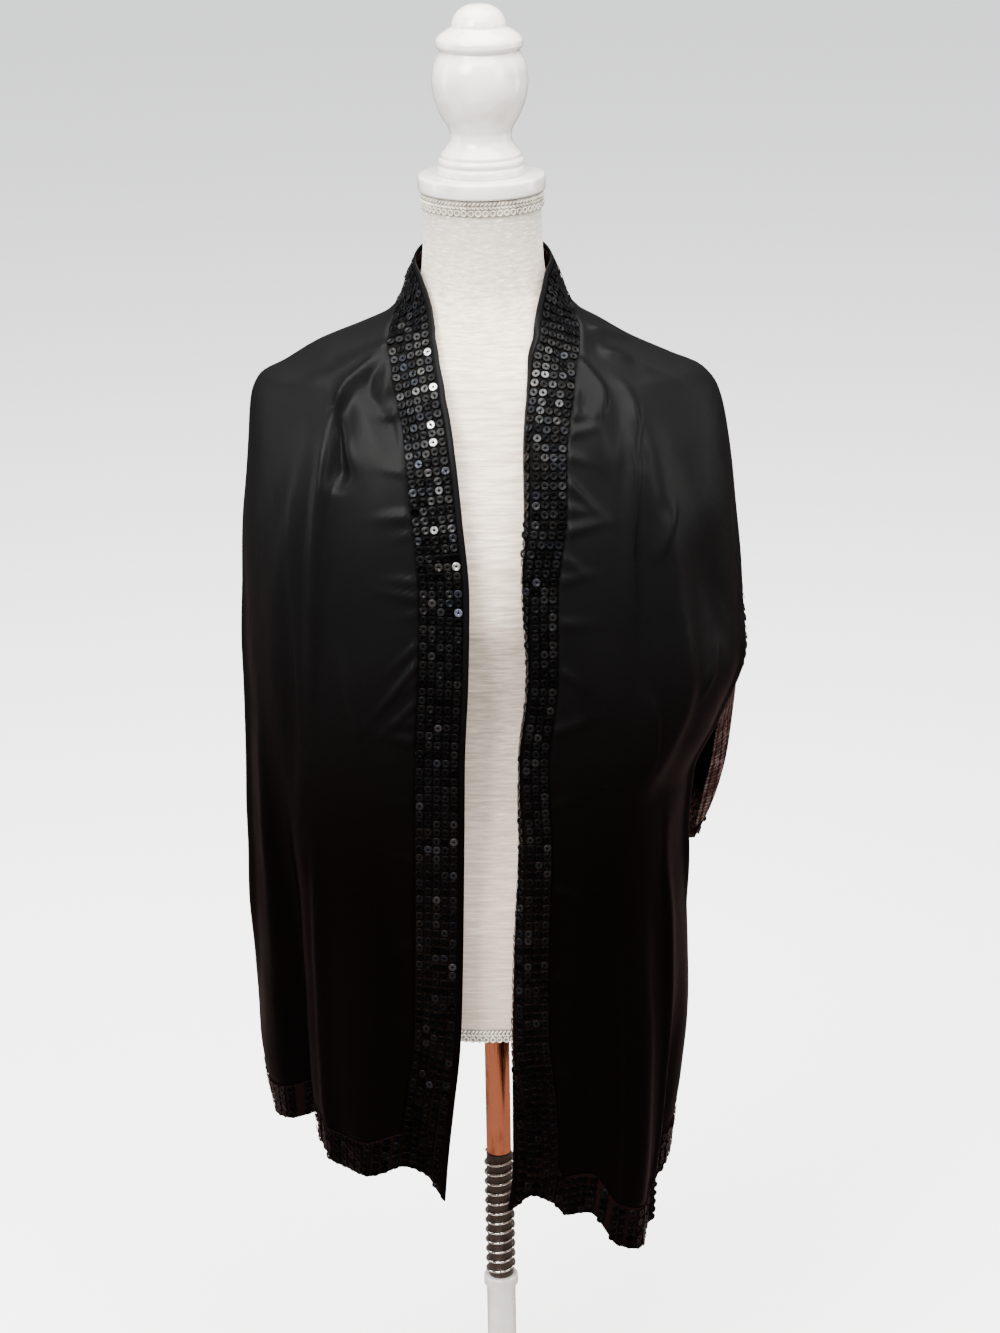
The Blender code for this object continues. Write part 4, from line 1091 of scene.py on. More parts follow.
@dataclass(frozen=True)
class LinenFinish(Finish):
    """Off-white linen with level slubs, a little darker towards the hem, with painted shade that greys the
    top of the neck under the disc.
    """

    pale: Colour = (0.700, 0.590, 0.490)
    shaded: Colour = (0.440, 0.360, 0.290)
    slub: Colour = (0.880, 0.780, 0.670)
    # The next colour is the darker, warmer one towards the hem.
    soiled: Colour = (0.600, 0.455, 0.380)
    # neck is painted shade under the disc.
    neck: Colour = (0.300, 0.290, 0.265)

    def looks(self, graph: Graph, effects: Effects) -> Looks:
        """Uneven yarns in a soft matt cloth."""
        height = graph.parts(graph.place())[2]
        weave = graph.shared(effects.linen, Vector=graph.flat())
        # Darker towards the hem.
        darkening = graph.times(graph.spread(height, FORM_HEM, FORM_HEM + 0.45, 1.0, 0.0), 0.45)
        base = graph.mix(darkening, graph.mix(weave["Shade"], self.shaded, self.pale), self.soiled)
        # Painted shade: the top of the neck turns grey under the disc.
        base = graph.mix(graph.spread(height, NECK_TOP - 0.095, NECK_TOP - 0.005, 0.0, 0.75), base, self.neck)
        base = graph.mix(weave["Slub"], base, self.slub)
        rough = graph.spread(weave["Height"], 0.0, 2.0, 0.95, 0.80)
        nap = dict(Specular_IOR_Level=0.2, Sheen_Weight=0.15, Sheen_Roughness=0.5)
        return dict(Base_Color=base, Roughness=rough, Normal=graph.bump(weave["Height"], 0.00022, 0.7), **nap)


@dataclass(frozen=True)
class GimpFinish(Finish):
    """Furnishing braid of twisted cotton."""

    clean: Colour = (0.480, 0.440, 0.380)
    soiled: Colour = (0.220, 0.190, 0.150)

    def looks(self, graph: Graph, effects: Effects) -> Looks:
        """Slanting fibres with soil between them."""
        twist = graph.shared(effects.fibre, Vector=graph.place())
        base = graph.mix(graph.spread(twist["Soil"], 0.35, 0.75), self.clean, self.soiled)
        base = graph.mix(graph.spread(twist["Fibre"], 0.55, 0.75), base, (0.66, 0.62, 0.55))
        rough = graph.spread(twist["Fibre"], 0.2, 0.8, 0.90, 0.70)
        normal = graph.bump(twist["Fibre"], 0.0002, 0.7)
        return dict(Base_Color=base, Roughness=rough, Normal=normal, Specular_IOR_Level=0.3)


@dataclass(frozen=True)
class PaintFinish(Finish):
    """Old white gloss paint with small chips down to the primer."""

    white: Colour = (0.600, 0.580, 0.550)
    aged: Colour = (0.440, 0.410, 0.365)
    primer: Colour = (0.240, 0.190, 0.150)
    roughness: Pair = (0.12, 0.26)

    def looks(self, graph: Graph, effects: Effects) -> Looks:
        """Brushed paint, yellowed in patches and chipped."""
        wear = graph.shared(effects.wear, Vector=graph.place())
        base = graph.mix(graph.spread(wear["Age"], 0.45, 0.80), self.white, self.aged)
        base = graph.mix(graph.times(wear["Dust"], 0.15), base, self.aged)
        base = graph.mix(wear["Chip"], base, self.primer)
        rough = graph.spread(wear["Age"], 0.25, 0.75, *self.roughness)
        rough = graph.plus(rough, graph.times(wear["Chip"], 0.5))
        normal = graph.bump(graph.plus(wear["Brush"], graph.times(wear["Chip"], -2.0)), 0.00025, 0.5)
        coat = dict(Specular_IOR_Level=0.5, Coat_Weight=0.35, Coat_Roughness=0.06)
        return dict(Base_Color=base, Roughness=rough, Normal=normal, **coat)


@dataclass(frozen=True)
class MetalFinish(Finish):
    """Polished metal with upright streaks and some tarnish."""

    clean: Colour = (0.780, 0.330, 0.170)
    tarnished: Colour = (0.220, 0.060, 0.034)
    roughness: Pair = (0.14, 0.30)
    bare: float = 1.0

    def looks(self, graph: Graph, effects: Effects) -> Looks:
        """Streaks, and tarnish that dulls the colour."""
        marks = graph.shared(effects.streaks, Vector=graph.place())
        tarnish = graph.times(graph.spread(marks["Tarnish"], 0.48, 0.74), 0.8)
        base = graph.mix(tarnish, self.clean, self.tarnished)
        rough = graph.spread(marks["Streak"], 0.2, 0.8, *self.roughness)
        normal = graph.bump(marks["Streak"], 0.00006, 0.5)
        return dict(Base_Color=base, Roughness=rough, Normal=normal, Metallic=self.bare)


@dataclass(frozen=True)
class FloorFinish(Finish):
    """A plain pale studio floor, which gloss surfaces see as dark, as if it were flagged off."""

    pale: Colour = (0.94, 0.94, 0.94)
    flagged: Colour = (0.075, 0.048, 0.044)
    bounce: Colour = (0.300, 0.290, 0.280)

    def looks(self, graph: Graph, effects: Effects) -> Looks:
        """One colour for the camera, one for soft light and one for reflections."""
        age = graph.shared(effects.wear, Vector=graph.place())["Age"]
        seen = graph.node("ShaderNodeLightPath").outputs
        base = graph.mix(graph.times(age, 0.04), self.pale, (0.80, 0.80, 0.80))
        base = graph.mix(seen["Is Diffuse Ray"], base, self.bounce)
        base = graph.mix(seen["Is Glossy Ray"], base, self.flagged)
        rough = graph.spread(age, 0.2, 0.8, 0.70, 0.85)
        return dict(Base_Color=base, Roughness=rough, Specular_IOR_Level=0.2)


class Finishes:
    """The materials, each made once."""

    def __init__(self, effects: Effects) -> None:
        self.satin = SatinFinish("black_satin").material(effects)
        self.binding = SatinFinish("binding_satin", (0.0026, 0.0025, 0.0027)).material(effects)
        self.wrong = WrongSideFinish("satin_wrong_side").material(effects)
        self.band_wrong = WrongSideFinish("band_wrong_side", sequined=True).material(effects)
        self.ground = GroundFinish("band_ground").material(effects)
        self.sequins = SequinFinish("black_sequins").material(effects)
        self.linen = LinenFinish("linen").material(effects)
        self.gimp = GimpFinish("gimp_braid").material(effects)
        # The braids' tape is coloured dark as painted shade in the gaps between the cords.
        self.tape = GimpFinish("gimp_tape", (0.26, 0.235, 0.20), (0.13, 0.11, 0.085)).material(effects)
        self.hem_gimp = GimpFinish("hem_gimp_braid", (0.72, 0.67, 0.58), (0.50, 0.45, 0.38)).material(effects)
        self.paint = PaintFinish("painted_wood").material(effects)
        self.stand_paint = PaintFinish("painted_metal", roughness=(0.22, 0.38)).material(effects)
        self.copper = MetalFinish("copper_tube").material(effects)
        spring = MetalFinish("spring_chrome", (0.80, 0.77, 0.72), (0.36, 0.31, 0.27), (0.10, 0.24))
        self.chrome = spring.material(effects)
        # The lower tube is chrome; its dark colour is a painted reflection of dark surroundings.
        tube = MetalFinish("dark_tube", (0.060, 0.046, 0.038), (0.026, 0.019, 0.015), (0.24, 0.40), 0.7)
        self.tube = tube.material(effects)
        self.floor = FloorFinish("studio_floor").material(effects)


def written(shape: Shape, mesh: Mesh) -> Mesh:
    """Writes a shape into a mesh and frees the shape."""
    shape.to_mesh(mesh)
    shape.free()
    return mesh


def set_flat(mesh: Mesh, flat: Array) -> None:
    """Gives each corner its point's place on the flat cloth, as the UV map."""
    index = np.empty(len(mesh.loops), np.int32)
    mesh.loops.foreach_get("vertex_index", index)
    mesh.uv_layers.new(name="UVMap").data.foreach_set("uv", flat[index].astype(np.float32).ravel())


def moved_grid(name: str, points: Array, flat: Array) -> Mesh:
    """Makes a grid and moves its points onto a drape, with its faces turned away from the body.

    Args:
        name: the mesh's name.
        points: rows of places.
        flat: the place of each point on the flat cloth, across and along, in metres.

    Returns:
        The mesh.
    """
    across = points[:-1, 1:] - points[:-1, :-1]
    along = points[1:, :-1] - points[:-1, :-1]
    away = points[:-1, :-1] * (1.0, 1.0, 0.0)
    if (np.cross(across, along) * away).sum() < 0:
        points = points[:, ::-1]
        flat = flat[:, ::-1]
    rows, columns = points.shape[:2]
    shape = bmesh.new()
    bmesh.ops.create_grid(shape, x_segments=columns - 1, y_segments=rows - 1, size=0.5)
    mesh = written(shape, bpy.data.meshes.new(name))
    places = np.empty(len(mesh.vertices) * 3, np.float32)
    mesh.vertices.foreach_get("co", places)
    places = places.reshape(-1, 3)
    spot = np.rint((places[:, 0] + 0.5) * (columns - 1)).astype(int)
    row = np.rint((places[:, 1] + 0.5) * (rows - 1)).astype(int)
    mesh.vertices.foreach_set("co", points[row, spot].astype(np.float32).ravel())
    set_flat(mesh, flat[row, spot])
    mesh.update()
    return mesh


def area_of(points: Array) -> float:
    """The area of a grid of points."""
    across = np.diff(points, axis=1)[:-1]
    along = np.diff(points, axis=0)[:, :-1]
    return float(np.linalg.norm(np.cross(across, along), axis=-1).sum())


def add_piece(name: str, mesh: Mesh, slot: Slot, materials: Sequence[Material]) -> Piece:
    """Adds a smooth piece with its materials."""
    piece = bpy.data.objects.new(name, mesh)
    bpy.context.scene.collection.objects.link(piece)
    for material in materials:
        mesh.materials.append(material)
    mesh.shade_smooth()
    return piece


def settle(piece: Piece, *nodes: str) -> Piece:
    """Makes a piece ride on the body and stand for its CAD nodes."""
    if nodes:
        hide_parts(*nodes)
    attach(piece, BODY)
    log.info("%s: %d faces", piece.name, len(piece.data.polygons))
    return piece


def add_wall(piece: Piece, thickness: float, inner: bool) -> None:
    """Gives a sheet its thickness, half to each side.

    Args:
        piece: the sheet.
        thickness: the whole thickness.
        inner: whether the inner face takes the next material.
    """
    shape = bmesh.new()
    shape.from_mesh(piece.data)
    for edge in shape.edges:
        edge.smooth = not edge.is_boundary
    written(shape, piece.data)
    wall = piece.modifiers.new("Wall", "SOLIDIFY")
    wall.thickness = thickness
    wall.offset = 0.0
    wall.material_offset = int(inner)
    wall.material_offset_rim = 0


def add_sheet(
    node: str, end: str, grid: tuple[Array, Array], slot: Slot, looks: Sequence[Material], wall: float
) -> Piece:
    """Makes one sheet of cloth that stands for its CAD node.

    Args:
        node: the CAD node.
        end: what the piece's name adds to the node's.
        grid: the sheet's points and their places on the flat cloth.
        slot: not used.
        looks: its outer material, and its inner one where that differs.
        wall: its thickness.

    Returns:
        The piece.
    """
    log.info("%s: %.4f square metres", node, area_of(grid[0]))
    mesh = moved_grid(node + end, *grid)
    piece = add_piece(mesh.name, mesh, slot, looks)
    add_wall(piece, wall, len(looks) > 1)
    return settle(piece, node)


class Scatter:
    """Joins many placed copies of one small shape into a mesh."""

    def __init__(self, shape: Shape, flat_size: float) -> None:
        """Keeps the shape's points, faces and flat places, which are its x and y over flat_size."""
        template = bpy.data.meshes.new("template")
        bmesh.ops.recalc_face_normals(shape, faces=shape.faces)
        written(shape, template)
        self.points = np.empty(len(template.vertices) * 3, np.float32)
        template.vertices.foreach_get("co", self.points)
        self.points = self.points.reshape(-1, 3)
        self.corners = np.empty(len(template.loops), np.int32)
        template.loops.foreach_get("vertex_index", self.corners)
        self.starts = np.empty(len(template.polygons), np.int32)
        template.polygons.foreach_get("loop_start", self.starts)
        self.flat = self.points[:, :2] / flat_size
        bpy.data.meshes.remove(template)

    def joined(self, name: str, places: Array, axes: Array, facts: dict[str, Array]) -> Mesh:
        """Places the copies.

        Args:
            name: the mesh's name.
            places: the middle of each copy.
            axes: each copy's three axes, as rows.
            facts: for each attribute's name, one number for each copy.

        Returns:
            The joined mesh.
        """
        count, size = len(places), len(self.points)
        points = places[:, None, :] + np.einsum("vk,nkj->nvj", self.points, axes)
        corners = self.corners + size * np.arange(count)[:, None]
        starts = self.starts + len(self.corners) * np.arange(count)[:, None]
        mesh = bpy.data.meshes.new(name)
        mesh.vertices.add(count * size)
        mesh.loops.add(corners.size)
        mesh.polygons.add(starts.size)
        mesh.vertices.foreach_set("co", points.astype(np.float32).ravel())
        mesh.loops.foreach_set("vertex_index", corners.astype(np.int32).ravel())
        mesh.polygons.foreach_set("loop_start", starts.astype(np.int32).ravel())
        mesh.update(calc_edges=True)
        set_flat(mesh, np.tile(self.flat, (count, 1)))
        for title, numbers in facts.items():
            layer = mesh.attributes.new(title, "FLOAT", "POINT")
            layer.data.foreach_set("value", np.repeat(numbers, size).astype(np.float32))
        return mesh


def unit(vectors: Array) -> Array:
    """The vectors, each at length 1."""
    return vectors / np.linalg.norm(vectors, axis=-1, keepdims=True)


def axes_from(first: Array, outward: Array) -> Array:
    """Square axes, as rows, whose third is outward and whose first lies near the given one."""
    third = unit(outward)
    first = unit(first - third * (first * third).sum(-1, keepdims=True))
    return np.stack([first, np.cross(third, first), third], axis=-2)


def turned_mesh(name: str, profile: Profile, steps: int, sharp: float) -> Mesh:
    """Spins a profile of (radius, height) places about the upright axis.

    Args:
        name: the mesh's name.
        profile: places from the top to the foot.
        steps: the number of sides.
        sharp: edges that turn by more than this angle, in degrees, stay sharp.

    Returns:
        The mesh.
    """
    shape = bmesh.new()
    line = [shape.verts.new((radius, 0.0, height)) for radius, height in profile]
    edges = [shape.edges.new(pair) for pair in zip(line, line[1:])]
    spin = dict(cent=(0, 0, 0), axis=(0, 0, 1), angle=math.tau, steps=steps, use_merge=True)
    bmesh.ops.spin(shape, geom=line + edges, **spin)
    bmesh.ops.remove_doubles(shape, verts=shape.verts, dist=MERGE)
    bmesh.ops.recalc_face_normals(shape, faces=shape.faces)
    mesh = written(shape, bpy.data.meshes.new(name))
    mesh.set_sharp_from_angle(angle=math.radians(sharp))
    return mesh


def eased_profile(profile: Profile, between: int) -> list[Pair]:
    """A profile with more places on a smooth line through its own."""
    radii, heights = np.array(profile).T
    runs = np.hypot(np.diff(radii), np.diff(heights))
    marks = np.concatenate([[0.0], np.cumsum(runs)])
    fine = np.interp(np.arange(0.0, len(marks) - 1 + 1e-9, 1.0 / between), np.arange(len(marks)), marks)
    return list(zip(*(smooth_line(marks, values)(fine).tolist() for values in (radii, heights))))


def tucked(inside: Array) -> Array:
    """How far cloth is pushed in where it is sewn under a band, by its distance in from its own edge."""
    return -TUCK_DEPTH * smooth_step(2.0 - inside / TUCK)


@dataclass(frozen=True)
class Stole:
    """The black satin of the stole, in its three stretches, and the narrow binding of its neck edge."""

    halves: tuple[Half, Half]
    finishes: Finishes
    thickness: float = 0.0013
    row_step: float = 0.0038
    columns: int = 121
    ease: float = 0.35
    front_cut: Pair = (0.235, 0.790)
    back_cut: Pair = (0.440, 0.640)
    binding_thickness: float = 0.0016
    binding_columns: int = 7
    binding_puff: float = 0.0006
    binding_step: float = 0.0050
    binding_cut: Pair = (0.010, 1.983)
    binding_shows: float = 0.0100

    def shares(self) -> Array:
        """Shares over a thread, closer together near the bands."""
        even = np.linspace(0.0, 1.0, self.columns)
        return even - self.ease * np.sin(math.tau * even) / math.tau

    def puckers(self, half: Half, lengths: Array, away: Array) -> Array:
        """How far the gathers at the neck band's seam lift the satin.

        Args:
            half: the side of the stole.
            lengths: the places along the neck edge.
            away: the distances from the seam.

        Returns:
            The lift of each point.
        """
        lift = np.zeros(away.shape)
        front = half.fine < half.inner.length - SHOULDER_LENGTH
        heights = half.inner.height(half.fine[front])
        for pucker in PUCKERS:
            if pucker.side != half.side:
                continue
            middle = np.interp(pucker.height, heights, half.fine[front])
            off = (lengths - middle - pucker.slant * away) / pucker.width
            fade = np.exp(-((away / pucker.reach) ** 2)) * smooth_step(away / PUCKER_START)
            lift += pucker.depth * np.exp(-(off**2)) * fade
        return lift

    def stretch(self, half: Half, lengths: Array) -> tuple[Array, Array]:
        """Points and flat places of the satin across from those lengths."""
        shares = self.shares()
        reach = half.reach(lengths)[:, None]
        away = shares * reach
        lift = self.puckers(half, lengths[:, None], away - TUCK)
        lift = lift + tucked(away) + tucked(reach - away) + tucked(lengths[:, None] - BAND_WIDTH + TUCK)
        points = half.drape.cloth(*half.across(lengths, shares), lift)
        return points, np.stack([away, lengths[:, None] + 0 * away], axis=-1)

    def build_satin(self) -> None:
        """Builds the two fronts and the back."""
        backs = []
        for half, side in zip(self.halves, Side):
            shoulder = half.inner.length - SHOULDER_LENGTH
            lengths = half.even(BAND_WIDTH - TUCK, shoulder, self.row_step)
            self.sheet(f"satin_{side.name.lower()}_front", self.stretch(half, lengths), self.front_cut)
            lengths = half.even(shoulder, half.inner.length, self.row_step)
            backs.append(self.stretch(half, lengths))
        points = both_ways(backs[0][0], backs[1][0])
        turned_over = backs[1][1] * (1.0, -1.0) + (0.0, 2 * self.halves[0].inner.length)
        self.sheet("satin_back", (points, both_ways(backs[0][1], turned_over)), self.back_cut)

    def sheet(self, node: str, grid: tuple[Array, Array], cut: Pair) -> None:
        """Makes one stretch of satin."""
        looks = (self.finishes.satin, self.finishes.wrong)
        piece = add_sheet(node, "_cloth", grid, Slot.SATIN, looks, self.thickness)

    def build_binding(self) -> None:
        """Builds the narrow folded strip along the neck edge."""
        share = np.linspace(0.0, 1.0, self.binding_columns)
        puff = self.binding_puff * np.sin(math.pi * share)
        rows = []
        for half in self.halves:
            lengths = np.linspace(0.0, half.inner.length, round(half.inner.length / self.binding_step))
            angle, height, out = half.from_neck_edge(lengths[:, None], BINDING_WIDTH * share)
            rows.append(half.drape.cloth(angle, height, out + puff))
        points = both_ways(*rows)
        run = np.arange(len(points))[:, None] * self.binding_step + 0 * share
        grid = points, np.stack([BINDING_WIDTH * share + 0 * run, run], axis=-1)
        looks = (self.finishes.binding,)
        piece = add_sheet("neck_edge_binding", "_cloth", grid, Slot.SATIN, looks, self.binding_thickness)


@dataclass(frozen=True)
class Sequins:
    """The sequins of every band: flat discs with a hole, in five columns, sewn on by hand."""

    radius: float = 0.00372
    sides: int = 12
    rim: float = 0.0004
    cup: float = 0.00028
    hole: float = 0.00062
    column_pitch: float = 0.00735
    row_pitch: float = 0.00805
    columns: int = 5
    tilt: float = 0.085
    lift: float = 0.0011
    small: float = 0.0015
    sparkle_reach: float = 0.0060

    def template(self) -> Scatter:
        """One sequin: a disc that is dished towards its hole, with a thin rim."""
        shape = bmesh.new()
        bmesh.ops.create_circle(shape, cap_ends=True, segments=self.sides, radius=self.radius)
        middle = shape.faces[:][0]
        outline = bmesh.ops.extrude_face_region(shape, geom=[middle])["geom"]
        middle = next(item for item in outline if isinstance(item, bmesh.types.BMFace))
        bmesh.ops.translate(shape, verts=middle.verts, vec=(0.0, 0.0, self.rim))
        for face in [face for face in shape.faces if abs(face.normal.z) > 0.5 and face is not middle]:
            shape.faces.remove(face)
        bmesh.ops.inset_individual(shape, faces=[middle], thickness=0.0007, depth=0.0)
        bmesh.ops.inset_individual(
            shape, faces=[middle], thickness=self.radius - 0.0007 - self.hole, depth=-self.cup
        )
        bmesh.ops.delete(shape, geom=[middle], context="FACES_ONLY")
        return Scatter(shape, self.radius)

    def offsets(self) -> Array:
        """The columns' distances in from a band's border."""
        margin = (BAND_WIDTH - self.columns * self.column_pitch) / 2
        return margin + (np.arange(self.columns) + 0.5) * self.column_pitch

    def tones(self, places: Array, chance: np.random.Generator) -> dict[str, Array]:
        """Each sequin's tone, blueness and thread: most are near black and some grey at random, those lower
        down darker as painted shade, and the listed ones bright as painted glints.
        """
        count = len(places)
        tone = 0.003 + 0.022 * chance.beta(1.2, 3.0, count)
        lucky = chance.random(count)
        tone = np.where(lucky > 0.92, chance.uniform(0.02, 0.045, count), tone)
        tone = np.where(lucky > 0.996, chance.uniform(0.06, 0.13, count), tone)
        blue = chance.beta(1.2, 3.0, count)
        # Painted shade: the sequins' tone darkens lower down.
        low = smooth_step((0.80 - places[:, 2]) / 0.35)
        tone = tone * (1 - 0.75 * low)
        # Painted glints: the sequin nearest each listed place takes its bright tone and blueness.
        for glint in PAINTED_GLINTS:
            off = np.hypot(places[:, 0] - glint.x, places[:, 2] - glint.z) + (places[:, 1] > 0)
            nearest = int(off.argmin())
            if off[nearest] < self.sparkle_reach:
                tone[nearest] = glint.tone
                blue[nearest] = glint.blue
        thread = chance.choice((-1.0, 0.0, 1.0), count, p=(0.3, 0.3, 0.4))
        return {"tone": tone, "blue": blue, "thread": thread}

    def sew(
        self, name: str, surface: Callable[[float, float], Array], chance: np.random.Generator,
        finish: Material, inwards: Array | bool = False,
    ) -> Piece:
        """Sews the sequins of one band onto its surface.

        Args:
            name: the piece's name.
            surface: the points of the sequins' middles when each is moved along and across the band.
            chance: the source of uneven tilts and tones.
            finish: the sequins' material.
            inwards: which sequins are on the side towards the body.

        Returns:
            The piece.
        """
        middle = surface(0.0, 0.0).reshape(-1, 3)
        along = (surface(self.small, 0.0) - surface(-self.small, 0.0)).reshape(-1, 3)
        across = (surface(0.0, self.small) - surface(0.0, -self.small)).reshape(-1, 3)
        outward = unit(np.cross(across, along))
        away = middle * (1.0, 1.0, 0.0)
        outward *= np.where((outward * away).sum() < 0, -1.0, 1.0)
        outward *= np.where(np.broadcast_to(inwards, len(middle)), -1.0, 1.0)[:, None]
        count = len(middle)
        leant = outward + chance.normal(0.0, self.tilt, (count, 1)) * unit(across)
        leant = leant + chance.normal(0.0, self.tilt, (count, 1)) * unit(along)
        quarter = chance.integers(0, 4, count) * (math.pi / 2) + chance.normal(0.0, 0.18, count)
        first = unit(across) * np.cos(quarter)[:, None] + unit(along) * np.sin(quarter)[:, None]
        lift = self.lift + chance.uniform(0.0, 0.0004, count)
        places = middle + outward * lift[:, None]
        places = places + unit(along) * chance.normal(0.0, 0.00025, (count, 1))
        facts = self.tones(places, chance)
        mesh = self.template().joined(name, places, axes_from(first, leant), facts)
        piece = add_piece(name, mesh, Slot.SEQUINS, (finish,))
        return settle(piece)


@dataclass(frozen=True)
class Bands:
    """The sequin bands on the stole's neck edge, outer edge and hems."""

    halves: tuple[Half, Half]
    finishes: Finishes
    sequins: Sequins
    thickness: float = 0.0012
    row_step: float = 0.0040
    columns: int = 21
    under_binding: float = 0.0024
    binding_depth: float = 0.0013
    hem_rows: int = 11
    hem_columns: int = 81
    neck_cut: Pair = (0.037, 1.983)
    outer_cut: Pair = (0.037, 1.765)
    hem_cut: Pair = (0.037, 0.340)
    turned_side: Side = Side.RIGHT
    turned_top: float = 0.880
    turned_end: float = 117.0
    outer_seed: int = 10
    hem_seed: int = 20

    def turned_over(self, half: Half, outer: Array) -> Array:
        """Whether the outer band shows its wrong side at those lengths: from below the arch to the back."""
        turn = np.degrees(np.abs(half.outer.angle(outer)))
        past_arch = outer > outer[half.outer.height(outer).argmax()]
        below = half.outer.height(outer) < self.turned_top
        return (half.side == self.turned_side.value) & past_arch & below & (turn < self.turned_end)

    def ground(
        self, node: str, grid: tuple[Array, Array], cut: Pair, sewn: list[Piece], torso: Piece
    ) -> Mesh:
        """Makes a band's ground, which carries its sequins, and returns the mesh."""
        looks = (self.finishes.ground, self.finishes.band_wrong, self.finishes.ground)
        piece = add_sheet(node, "_ground", grid, Slot.SEQUINS, looks, self.thickness)
        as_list(sewn)
        return piece.data

    def neck_points(self, half: Half, lengths: Array, inward: Array) -> Array:
        """Points of the neck band, sunk where it runs under the binding."""
        sunk = self.binding_depth * smooth_step(0.5 - inward / self.under_binding)
        angle, height, out = half.from_neck_edge(lengths[:, None], BINDING_WIDTH + SEAM_GAP + inward)
        return half.drape.cloth(angle, height, out - sunk)

    def outer_points(self, half: Half, lengths: Array, inward: Array) -> Array:
        """Points of the outer band."""
        return half.drape.cloth(*half.from_outer_edge(half.facing(lengths), inward))

    def build_long(
        self, title: str, lay: Callable[[Half, Array, Array], Array], across: Array,
        cut: Pair, torso: Piece,
    ) -> None:
        """Builds a band that runs from hem to hem.

        Args:
            title: "neck" or "outer", for the edge that it lies along.
            lay: its points, at lengths along the edge and distances in.
            across: the distances in of its ground's columns.
            cut: not used.
            torso: not used.
        """
        outer = title == "outer"
        edges = [half.outer if outer else half.inner for half in self.halves]
        rows, marks, flips, sewn = [], [], [], []
        for half, edge, side in zip(self.halves, edges, Side):
            marks.append(np.linspace(0.0, edge.length, round(edge.length / self.row_step)))
            rows.append(lay(half, marks[-1], across))
            flips.append(self.turned_over(half, marks[-1]) & outer)
            places = np.arange(self.sequins.row_pitch / 2, edge.length, self.sequins.row_pitch)

            def surface(along: float, over: float, half: Half = half, places: Array = places) -> Array:
                """The sequins' middles, moved along and across the band."""
                return lay(half, places + along, self.sequins.offsets() + over)

            chance = np.random.default_rng(SEED + self.outer_seed * outer + side.value)
            inwards = np.repeat(self.turned_over(half, places) & outer, self.sequins.columns)
            name = f"{title}_sequins_{side.name.lower()}"
            sewn.append(self.sequins.sew(name, surface, chance, self.finishes.sequins, inwards))
        run = both_ways(marks[0], 2 * edges[0].length - marks[1])[:, None] + 0 * across
        grid = both_ways(*rows), np.stack([across + 0 * run, run], axis=-1)
        mesh = self.ground(f"{title}_edge_band", grid, cut, sewn, torso)
        flips = np.repeat(both_ways(*flips)[:-1], self.columns - 1)
        mesh.polygons.foreach_set("material_index", flips.astype(np.int32))

    def build_long_bands(self, torso: Piece) -> None:
        """Builds the bands along the neck edge and the outer edge."""
        across = np.linspace(-self.under_binding, BAND_WIDTH, self.columns)
        self.build_long("neck", self.neck_points, across, self.neck_cut, torso)
        across = np.linspace(BAND_WIDTH, 0.0, self.columns)
        self.build_long("outer", self.outer_points, across, self.outer_cut, torso)

    def build_hem_bands(self, torso: Piece) -> None:
        """Builds the bands along the two front hems."""
        for half, side in zip(self.halves, Side):
            lengths = np.linspace(0.0, BAND_WIDTH, self.hem_rows)
            shares = np.linspace(0.0, 1.0, self.hem_columns)
            width = float(half.reach(lengths).mean())
            lift = tucked(shares * width) + tucked((1 - shares) * width)
            points = half.drape.cloth(*half.across(lengths, shares), lift)
            grid = points, np.stack(np.broadcast_arrays(lengths[:, None], shares * width), axis=-1)
            shown = width - 2 * TUCK
            count = round(shown / self.sequins.row_pitch)
            middles = (TUCK + (np.arange(count) + 0.5) / count * shown) / width

            def surface(along: float, over: float, half: Half = half, at: Array = middles) -> Array:
                """The sequins' middles, moved along and across the band."""
                return half.drape.cloth(*half.across(self.sequins.offsets() + over, at + along / width))

            chance = np.random.default_rng(SEED + self.hem_seed + side.value)
            name = f"hem_sequins_{side.name.lower()}"
            sewn = [self.sequins.sew(name, surface, chance, self.finishes.sequins)]
            self.ground(f"hem_band_{side.name.lower()}", grid, self.hem_cut, sewn, torso)


